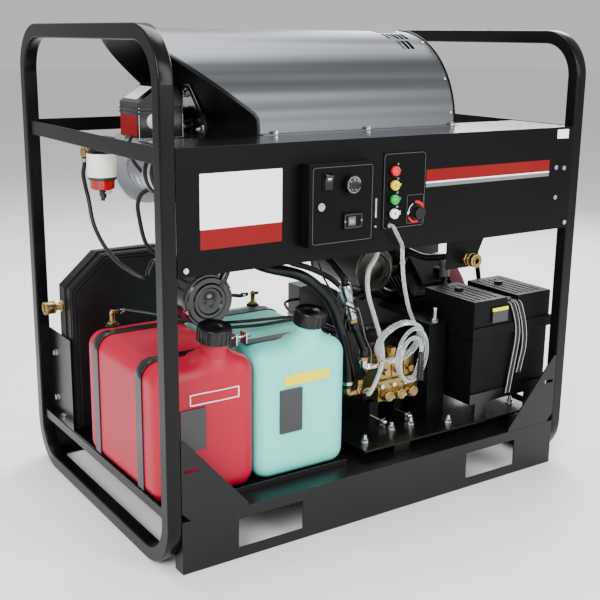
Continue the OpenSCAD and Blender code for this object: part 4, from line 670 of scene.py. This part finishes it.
def moulded(lo, hi, r, step):
    """Box surface on a grid with its edges drawn in to arcs: every point is set at the
    distance r from the nearest point of the box's core."""
    lo, hi = np.array([lo, hi], float)
    middle, half = (lo + hi) / 2, (hi - lo) / 2
    sides = []
    for k in range(3):
        i, j = (k + 1) % 3, (k + 2) % 3
        ni, nj = (np.ceil(2 * half[[i, j]] / step)).astype(int)
        gi, gj = np.meshgrid(np.linspace(-half[i], half[i], ni + 1), np.linspace(-half[j], half[j], nj + 1),
                             indexing="ij")
        a, b = np.meshgrid(np.arange(ni) * (nj + 1), np.arange(nj), indexing="ij")
        first = (a + b).ravel()
        quads = np.stack([first, first + nj + 1, first + nj + 2, first + 1], -1)
        for end in (-1, 1):
            p = np.empty((gi.size, 3))
            p[:, i], p[:, j], p[:, k] = gi.ravel(), gj.ravel(), end * half[k]
            sides.append((p, quads.tolist()))
    points, faces = together(*sides)
    core = np.clip(points, r - half, half - r)
    return middle + core + r * units(points - core), faces


tank_w, tank_d = 255, 411
tank_y0, tank_z0, tank_top = -336, 128, 452
neck_tilt = math.radians(10)
neck_up = np.array([0, -math.sin(neck_tilt), math.cos(neck_tilt)])


def neck_foot(x0):
    """Point on a tank's top where its neck's axis starts."""
    return np.array([x0 + 158, tank_y0 + 40, tank_top])


def tank_body(x0):
    """Rounded box whose front shoulder swells towards the neck: a point rises and comes
    forward by a bell of its distance from the neck's axis, and the walls bow a little."""
    points, faces = moulded((x0, tank_y0, tank_z0), (x0 + tank_w, tank_y0 + tank_d, tank_top), 40, 9)
    foot = neck_foot(x0)
    off = points - foot
    along = off @ neck_up
    away = np.linalg.norm(off - along[:, None] * neck_up, axis=1)
    swell = np.exp(-(np.clip(away - 30, 0, None) / 18) ** 1.4)
    high = np.clip((points[:, 2] - (tank_top - 70)) / 70, 0, 1) ** 2
    points[:, 2] += 24 * swell * high
    down = np.clip((points[:, 2] - (tank_top - 150)) / 130, 0, 1)
    ridge = np.exp(-((points[:, 0] - foot[0]) / (18 + 16 * down)) ** 2) * down * (points[:, 1] < tank_y0 + 60)
    points[:, 1] -= 5 * ridge
    half = np.array([tank_w, tank_d, tank_top - tank_z0]) / 2
    mid = (points - ((x0, tank_y0, tank_z0) + half)) / half
    bow = np.clip(1 - np.abs(mid), 0, 1)
    face = (np.abs(mid[:, 1]) > 0.96) & (mid[:, 1] < 0)
    points[:, 1] += face * 2.0 * np.minimum(bow[:, 0], bow[:, 2]) * 2
    return points, faces


def tank_neck(x0):
    """Neck: a turned profile that narrows from the shoulder to its open mouth."""
    profile = [(-40, 38), (-20, 38), (-8, 36.5), (6, 33.6), (20, 31), (30, 29.6), (40, 29), (64, 29),
               (68, 28.4), (68, 24.6), (-40, 24.6)]
    return turned(profile, neck_foot(x0), neck_up, 56, closed=True)


red_tank = finish("red_tank_plastic", "#a8002c", 0.42, shine=0.3, mottle=0.07, patch=4, grain=260,
                  relief=0.05, scatter=0.25)
mint_tank = finish("mint_tank_plastic", "#6fe2d6", 0.42, shine=0.35, mottle=0.05, patch=4, grain=260,
                   relief=0.05, scatter=0.25)
yellow_film = finish("yellow_film", "#f6e400", 0.45, shine=0.15, mottle=0.03, relief=0.02)
dark_film = finish("dark_film", "#202123", 0.35, mottle=0.08, patch=40, relief=0.02, coat=0.2)
tank_at = {"gasoline": -596, "diesel": -337}
for fuel, plastic, slot in (("gasoline", red_tank, "red_plastic"), ("diesel", mint_tank, "green_plastic")):
    piece(fuel + "_moulding", tank_body(tank_at[fuel]), plastic, crease=60, stands_for=(fuel + "_tank",),
          merge=True)
    piece(fuel + "_neck", tank_neck(tank_at[fuel]), plastic)
tag_y = tank_y0 + 4
piece("diesel_tag", tile(-268, -142, 361, 387, 1, 6, tag_y), yellow_film)
piece("diesel_patch", tile(-281, -219, 244, 352, 2, 6, tag_y), dark_film)
piece("gasoline_tag", together(*[plate(rect(*edges), 6, (0, tag_y, 0)) for edges in (
    (-517, -392, 361, 362.6), (-517, -392, 385.4, 387), (-517, -515.4, 362.6, 385.4),
    (-393.6, -392, 362.6, 385.4))]), white_film)
piece("gasoline_patch", tile(-541, -478, 255, 353, 2, 6, tag_y), dark_film)

# ---- filler caps, straps and fittings ----
# Ribbed black caps with a raised ring on top, painted steel straps over the
# tanks, and brass pick-up elbows on black grommets.
for fuel, x0 in tank_at.items():
    dress(fuel + "_cap", black_moulding, 0.5)
    piece(fuel + "_cap_crown", turned(
        [(75.4, 38), (77.2, 37), (77.2, 32), (76.2, 30.5), (76.2, 16), (77.4, 14), (77.4, 0.3), (75.2, 0.3)],
        neck_foot(x0), neck_up, 48), black_moulding, fuel + "_cap")
strap_paint = finish("strap_paint", "#0a0a0b", 0.3, mottle=0.08, relief=0.1)
dress("tank_straps", strap_paint, 0.9)
dress("tank_fittings", brass, 0.6)
piece("pick_up_grommets", together(*[
    turned([(0, 17), (3, 17), (6, 13), (6, 9), (0, 9)], (x, y, tank_top), Z, 36, closed=True)
    for x, y in ((-527, 56), (-130, 40))]), plain_rubber)

# ---- water float tank ----
# Rotomoulded black polyethylene with sloped shoulders and a seam flange, held by
# a steel bracket. A brass swivel nut takes the garden hose.
rotomoulded = finish("rotomoulded_black", "#0a0a0b", 0.46, shine=0.35, mottle=0.1, patch=10, grain=180, relief=0.35)
dress("float_tank", rotomoulded, 5.0, 3)
dress("inlet_swivel", brass, 0.6)
piece("swivel_grips", together(*[
    turned([(a - 1.2, 16.0), (a, 17.4), (a + 1.2, 16.0)], (-628, 262, 462), X, 24, closed=True)
    for a in (4, 24)]), brass, "inlet_swivel")

# ---- engine ----
# Air-cooled twin in cast aluminium, painted black, with a maroon fan housing, a
# drum muffler whose body behind its bare cap is coloured dark as painted shade, and an air cleaner hung from the
# panel.
cast_black = finish("cast_black", "#070708", 0.36, shine=0.4, mottle=0.14, patch=16, grain=220, relief=0.3)
dress("engine_block", cast_black, 1.5)
dress("fan_cover", finish("maroon_gloss", "#5a0719", 0.24, mottle=0.06, patch=5, coat=0.4, relief=0.03), 4.0, 3)
muffler_at = np.array([238.0, -20.0, 518.0])
satin_steel = finish("satin_steel", "#6b6862", 0.3, metal=1.0, patch=9, grain=140)
piece("muffler_cap", turned(
    [(-3, 0.2), (-3, 24), (-1, 28), (4, 31), (4, 44), (0, 47), (0, 55), (-1.5, 57), (-1.5, 62), (1, 65), (6, 65),
     (8, 63), (9, 0.2)], muffler_at, Y, 72), satin_steel)
# Painted shade: the drum's dark colour stands in for the shadow the muffler's body sits in behind its cap.
piece("muffler_drum", turned(
    [(8, 0.2), (8, 62.4), (226, 63), (228, 65), (234, 65), (238, 60), (240, 40), (240, 0.2)], muffler_at, Y, 72),
    finish("painted_shade_steel", "#1a1917", 0.5, metal=0.6, mottle=0.3, patch=9, grain=140, relief=0.1),
    stands_for=("muffler",))
piece("muffler_pipe", together(
    tube([(293, 12, 500), (310, 12, 500), (326, 12, 500)], 16, 24),
    tube(flow([(262, -8, 470), (290, -18, 452), (322, -20, 449), (352, -20, 449)], 8), 6, 12)),
    satin_steel)
cleaner_at = np.array([-393.0, -200.0, 555.0])
outlet_lean = math.radians(25)
piece("cleaner_drum", turned(
    [(-6, 0.2), (-6, 10), (-4, 14), (-4, 30), (-7, 33), (-7, 40), (-4, 44), (-4, 55), (0, 58), (0, 62), (3, 64),
     (14, 64), (16, 62), (120, 60), (124, 62), (146, 62), (150, 56), (150, 0.2)], cleaner_at, Y, 64),
    gloss_black, stands_for=("air_cleaner",))
piece("cleaner_hanger", together(
    plate(rect(-20, 20, 60, 123), 3, cleaner_at + [0, 17, 0]),
    plate(rect(-413, -373, -402.5, -183), 3, (0, 0, 675), X, Y),
    turned([(14, 17), (56, 17), (60, 15), (60, 0.2), (14, 0.2)], cleaner_at + [22, 12, 14],
           (math.sin(outlet_lean), 0, math.cos(outlet_lean)), 32)),
    gloss_black, ease=0.6)
piece("cleaner_clips", together(*[
    plate(rect(-4, 4, 0, 16), 5, cleaner_at + 64 * np.array([math.cos(a), 0, math.sin(a)]) + [0, -2, 0],
          np.array([-math.sin(a), 0, math.cos(a)]), Y) for a in np.radians([20, 200])]),
    bright_zinc, ease=0.6)

# ---- belt drive ----
# Two belts between a small engine pulley and a large pump pulley, under a folded
# guard whose slack is taken up by two domed bolts.
dress("belt_guard", panel_coat, 3.0, 3)
dress("drive_belts", plain_rubber)
for node in ("engine_pulley", "pump_pulley"):
    dress(node, finish(node + "_iron", "#55575a", 0.45, metal=0.9, grain=200, relief=0.2))

# ---- high-pressure pump ----
# Three-plunger pump: black crankcase, forged brass manifold with hexagon valve
# caps, a brass inlet tee, a zinc elbow and the unloader valve that leans left.
dress("pump_crankcase", cast_black, 2.0)
dress("pump_manifold", brass, 2.0)
plunger_x = (130, 171, 212)
piece("manifold_ribs", together(*[
    turned([(0, 15.4), (3, 15.4), (4.6, 13.6), (4.6, 9), (3.4, 8), (3.4, 0.2)], (x, -234, 228), -Y, 40)
    for x in plunger_x], *[plate(round_rect(-16, 16, 270, 322, 8), 3, (x, -208, 0)) for x in plunger_x]),
    brass, ease=0.6)
fit_y = -195
zinc_gloss = finish("zinc_gloss", "#c4c6c8", 0.16, metal=1.0, mottle=0.1, patch=24, relief=0.03)
piece("inlet_tee", together(
    turned([(0, 11), (18, 11), (20, 12.5), (30, 12.5), (32, 11), (84, 11)], (19, fit_y, 244), X, 32),
    turned([(0, 16.4), (1.5, 17.3), (20, 17.3), (22, 16.4)], (45, fit_y, 244), X, 6),
    turned([(0, 10), (30, 10), (32, 12), (42, 12), (44, 10)], (57, fit_y, 236), Z, 28),
    tube(flow([(32, fit_y, 244), (22, fit_y, 245), (19, fit_y, 250), (19, fit_y, 262)], 5), 11, 24),
    turned([(0, 7), (10, 7), (12, 9), (16, 9), (18, 7), (26, 7)], (57, -221, 252), Y, 24)), brass,
    ease=0.5, stands_for=("pump_fittings",))
lean = math.radians(17)
unloader, unloader_up = np.array([28.0, -200.0, 452.0]), np.array([-math.sin(lean), 0, math.cos(lean)])
union = (71, fit_y, 330)
piece("discharge_elbow", together(
    tube(flow([(108, fit_y, 306), (88, fit_y, 306), (76, fit_y, 307), (71, fit_y, 313), union], 5), 11, 24),
    turned([(0, 13.5), (1, 14.4), (9, 14.4), (10, 13.5)], (80, fit_y, 306), X, 6)), zinc_gloss, ease=0.5)
piece("unloader_barrel", together(
    turned([(0, 12), (12, 12), (14, 14), (22, 14), (24, 12), (40, 12)], unloader, unloader_up, 36),
    turned([(40, 16.4), (41, 17.3), (53, 17.3), (54, 16.4)], unloader, unloader_up, 6),
    turned([(54, 14), (60, 14), (62, 15.4), (94, 15.4), (98, 13), (100, 9)], unloader, unloader_up, 36)), zinc_gloss,
    ease=0.4)
piece("fitting_nuts", together(
    turned([(0, 15.2), (1, 16.2), (9, 16.2), (10, 15.2)], union, Z, 6),
    turned([(-10, 15.2), (-9, 16.2), (-1, 16.2), (0, 15.2)], unloader, unloader_up, 6)), brass, ease=0.5)
piece("hose_ferrules", together(
    turned([(10.3, 12.4), (11.5, 13), (34, 13), (36, 11.8)], union, Z, 32),
    turned([(-36, 11.8), (-34, 13), (-11.5, 13), (-10.3, 12.4)], unloader, unloader_up, 32)),
    finish("crimped_ferrule", "#2b2c2e", 0.3, metal=0.7, mottle=0.1), ease=0.4)

# ---- hoses, pipes and wires ----
# Each runs from one fitting to the next: fuel and water hoses of black rubber, a
# clear bypass hose, a braided loom to the engine and thin steel pipes.


def leave(p, d):
    """Three points straight out of a fitting."""
    return [np.add(p, np.multiply(k, d)) for k in (0, 1, 2)]


def enter(p, d):
    """The same three points, from the far one into the fitting."""
    return leave(p, d)[::-1]


valve_side = np.array([unloader_up[2], 0, -unloader_up[0]])
routes = {
    "diesel_suction": (5, leave((-574, 80, 873), (0, 0, -10)) + [(-578, 80, 831), (-575, 77, 802), (-571, 70, 771),
        (-570, 50, 719), (-565, 15, 678), (-552, -25, 642), (-532, -65, 618), (-505, -95, 602), (-480, -62, 614),
        (-440, -20, 622), (-350, 40, 560), (-280, 50, 510)]
        + enter((-146, 40, 486), (-16, 0, 0))),
    "gasoline_suction": (4, leave((-511, 56, 486), (10, 0, 0)) + [(-440, 20, 478), (-400, -30, 471), (-345, -90, 468),
        (-280, -130, 470), (-200, -134, 466), (-119, -132, 460), (-90, -132, 450), (-40, -140, 425), (27, -140, 404),
        (90, -80, 410), (150, 0, 425), (200, 90, 434), (260, 130, 434), (310, 130, 450)]
        + enter((371.7, 115, 490), (-10, 0, 0))),
    "vapour_return": (4, [(-360, -110, 459), (-303, -140, 462), (-220, -152, 459), (-112, -150, 459),
        (-86, -140, 450), (-66, -60, 442), (-40, 20, 448)] + enter((8.7, 40, 450), (-10, 0, 0))),
    "water_feed": (14, leave((-240, 199.7, 500), (0, -14, 0)) + [(-240, 100, 580), (-240, 20, 618), (-240, -80, 628),
        (-225, -165, 612), (-140, -205, 586), (-78, -208, 540), (-44, -208, 496), (-22, -206, 446), (-2, -204, 396),
        (12, -200, 340)] + enter((19, fit_y, 262.3), (0, 0, 14))),
    "battery_lead": (7, leave((430, -402.2, 770), (0, 8, 0)) + [(455, -350, 738), (478, -280, 706), (494, -200, 668),
        (512, -140, 620), (530, -116, 560), (548, -110, 495), (560, -112, 430), (556, -116, 370)]
        + enter((552, -144.7, 330), (0, 8, 0))),
    "outlet_line": (9, leave((252, -40, 679), (0, 0, -10)) + [(240, -110, 612), (252, -200, 590), (264, -270, 600)]
        + enter((268, -333.5, 612), (0, 8, 0))),
    "coil_feed": (9, leave(unloader + 100.3 * unloader_up, 9 * unloader_up) + [(-35, -150, 615), (-110, -70, 640),
        (-190, -45, 650)] + enter((-220, -40, 679), (0, 0, -8))),
    "sensor_wire": (2.5, [(-98, -200, 690), (-94, -200, 650), (-72, -200, 583), (-58, -206, 552), (-34, -216, 510),
        (4, -232, 488), (22, -230, 476), (22, -221, 471), (22, -212.3, 471)]),
    "canister_drain": (3.5, leave((8.7, 50, 410), (-8, 0, 0)) + [(-28, -40, 430), (-28, -150, 432), (-12, -216, 416),
        (10, -216, 350), (28, -212, 295)] + enter((40, fit_y, 255.3), (0, 0, 6))),
    "pump_hose": (11, leave((71, fit_y, 340.3), (0, 0, 8)) + enter(unloader - 10.3 * unloader_up, -9 * unloader_up)),
}
hose_rubber = finish("hose_rubber", "#060607", 0.38, shine=0.35, patch=30, grain=420, relief=0.2)
for name, (radius, points) in routes.items():
    piece(name, tube(flow(points, 6), radius, 18), hose_rubber,
          stands_for=("fluid_hoses",) if name == "diesel_suction" else ())
loom = finish("braided_loom", "#0a0a0b", 0.6, mottle=0.3, patch=180, grain=380, relief=0.8)
loom_line = flow([
    (-190, -150, 700), (-170, -150, 640), (-136, -150, 609), (-75, -150, 586), (-12, -150, 553), (31, -150, 515),
    (70, -120, 470), (120, -40, 436), (190, 30, 434), (250, 70, 434), (296, 90, 436)]
    + enter((334, 100, 430.3), (0, 0, 9)), 14)
piece("engine_loom", tube(loom_line, 7.6 + 0.4 * np.sin(np.arange(len(loom_line)) * 2.1), 14), loom)
conduit_line = flow(leave((410, -118, 499.7), (0, 0, -8)) + [
    (402, -120, 460), (388, -118, 425), (372, -110, 380), (364, -80, 345)] + enter((364, 4.7, 330), (0, -14, 0)), 16)
piece("filler_conduit", tube(conduit_line, 6.6 + 0.5 * np.sin(np.arange(len(conduit_line)) * 1.6), 14),
      black_moulding)
piece("bypass_hose", tube(flow([(0, -340, 720), (-3, -332, 650), (-18, -320, 606), (-6, -305, 546), (28, -290, 476),
    (68, -270, 400), (82, -260, 340), (70, -250, 285)] + enter((57, -221.3, 252), (0, -10, 0)), 8), 6, 18),
    finish("milky_hose", "#c4c9cc", 0.24, mottle=0.05, clear=0.3, relief=0.02, grain=120, coat=0.4))
piece("sense_pipe", tube(flow(leave(unloader + 14 * unloader_up + 12.3 * valve_side, 5 * valve_side)
    + [(58, -199, 436), (72, -197, 391), (92, fit_y, 352)] + enter((95, fit_y, 316.3), (0, 0, 6)), 8), 3, 12),
    satin_steel)
piece("hose_clamps", together(*[
    turned([(-4, r), (-4, r + 1.4), (4, r + 1.4), (4, r)], at, axis, 28, closed=True) for r, at, axis in (
        (14.1, (19, fit_y, 276), Z), (6.1, (57, -232, 252), Y), (5.1, (-574, 80, 864), Z), (5.1, (-160, 40, 486), X),
        (4.1, (-500, 56, 486), X), (14.1, (-240, 184, 500.5), Y))]), bright_zinc)
piece("oil_filler", turned(
    [(0, 14.2), (30, 14.2), (30, 17), (32, 18), (46, 18), (48.6, 16), (48.6, 0.3), (0, 0.3)],
    (410, -118, 500), Z, 36), finish("grey_filler", "#54565a", 0.4, mottle=0.08, relief=0.06), ease=0.8)

# ---- vapour canister ----
# Moulded black box on a sheet post behind the pump. The gasoline tank's vapour
# line enters its side, and a drain hose leaves below that.
dress("vapour_canister", black_moulding, 5.0, 3)

# ---- battery ----
# Moulded box with a two-part raised lid, vent caps, and a strap of webbing with
# two grey edge threads whose ends hang down the front.
box_plastic = finish("box_plastic", "#08090b", 0.55, shine=0.1, mottle=0.07, patch=8, grain=520, relief=0.22)
dress("battery_box", box_plastic, 5.0, 3)
dress("battery_lid", box_plastic, 5.0, 3)
dress("battery", finish("battery_case", "#3a3b3e", 0.4))
piece("lid_ribs", together(*[
    plate(rect(x, x + 4, -326, -170), 1.6, (0, 0, 484), X, Y)
    for x in (331, 351, 371, 391, 411, 491, 511, 531, 551, 571)]),
    box_plastic, "battery_lid", ease=0.7)
piece("lid_film", tile(381, 437, 421, 452, 1.5, 2.5, -346.5), dark_film, "battery_lid")
piece("lid_film_top", tile(381, 437, 452, 461, 1, 2.5, -346.5), yellow_film, "battery_lid")
webbing = finish("webbing", "#0b0b0c", 0.8, mottle=0.2, patch=300, grain=900, relief=0.6)
edge_thread = finish("edge_thread", "#b9bbbd", 0.7, mottle=0.15, patch=300, grain=900, relief=0.4)
over = [(452, -300, 468.5), (452, -330, 468.5), (453, -346, 466), (456, -350.5, 455), (466, -351, 430),
        (473, -352, 400), (474, -353, 370), (468, -353.5, 330), (459, -353.5, 280), (448, -353, 214)]
tail = [(470, -330, 471), (473, -349, 468), (481, -353.5, 446), (492, -355, 410), (498, -356, 370),
        (498, -355.5, 335), (492, -355, 305), (484, -354, 268)]
for name, points in (("strap_run", over), ("strap_tail", tail)):
    line = flow(points, 6)
    piece(name, trim(line, 16, 1.6, X), webbing, "battery_lid", ease=0.3)
    piece(name + "_threads", together(*[trim(line + [s * 7.2, 0, 0], 1.5, 2.3, X) for s in (-1, 1)]), edge_thread,
          "battery_lid", ease=0.3)
piece("strap_buckle", together(
    plate(round_rect(444, 484, -332, -308, 3), 5, (0, 0, 469), X, Y),
    plate(round_rect(449, 479, -326, -314, 2), 3, (0, 0, 473), X, Y)),
    black_moulding, "battery_lid", ease=0.8)

# ---- outlet coupler ----
# Hanging plate on the panel's flange with a brass quick coupler, its sleeve
# sliding over the body.
piece("outlet_plate", plate([[-66, 0], [-66, -84], [26, -84], [66, 0]], 3, (268, -350.5, 672)), panel_coat,
      ease=0.8, stands_for=("outlet_bracket",))
coupler_at = (268, -353.5, 612)
piece("coupler_body", together(
    turned([(0, 10.8), (41, 10.8), (42, 9.8), (42, 7.2), (22, 7), (22, 0.3), (0, 0.3)], coupler_at, -Y, 40),
    turned([(0, 16.3), (1, 17.3), (11, 17.3), (12, 16.3)], coupler_at, -Y, 6),
    turned([(0, 9), (20, 9)], coupler_at, Y, 24)), brass, ease=0.5)
dress("coupler_collar", brass, 0.8)

# ---- fasteners ----
# Zinc-plated steel screws, bolts and clamps in the panel, the deck, the tank straps
# and the belt guard, with lightly broken edges.
dress("zinc_hardware", bright_zinc, 0.6)
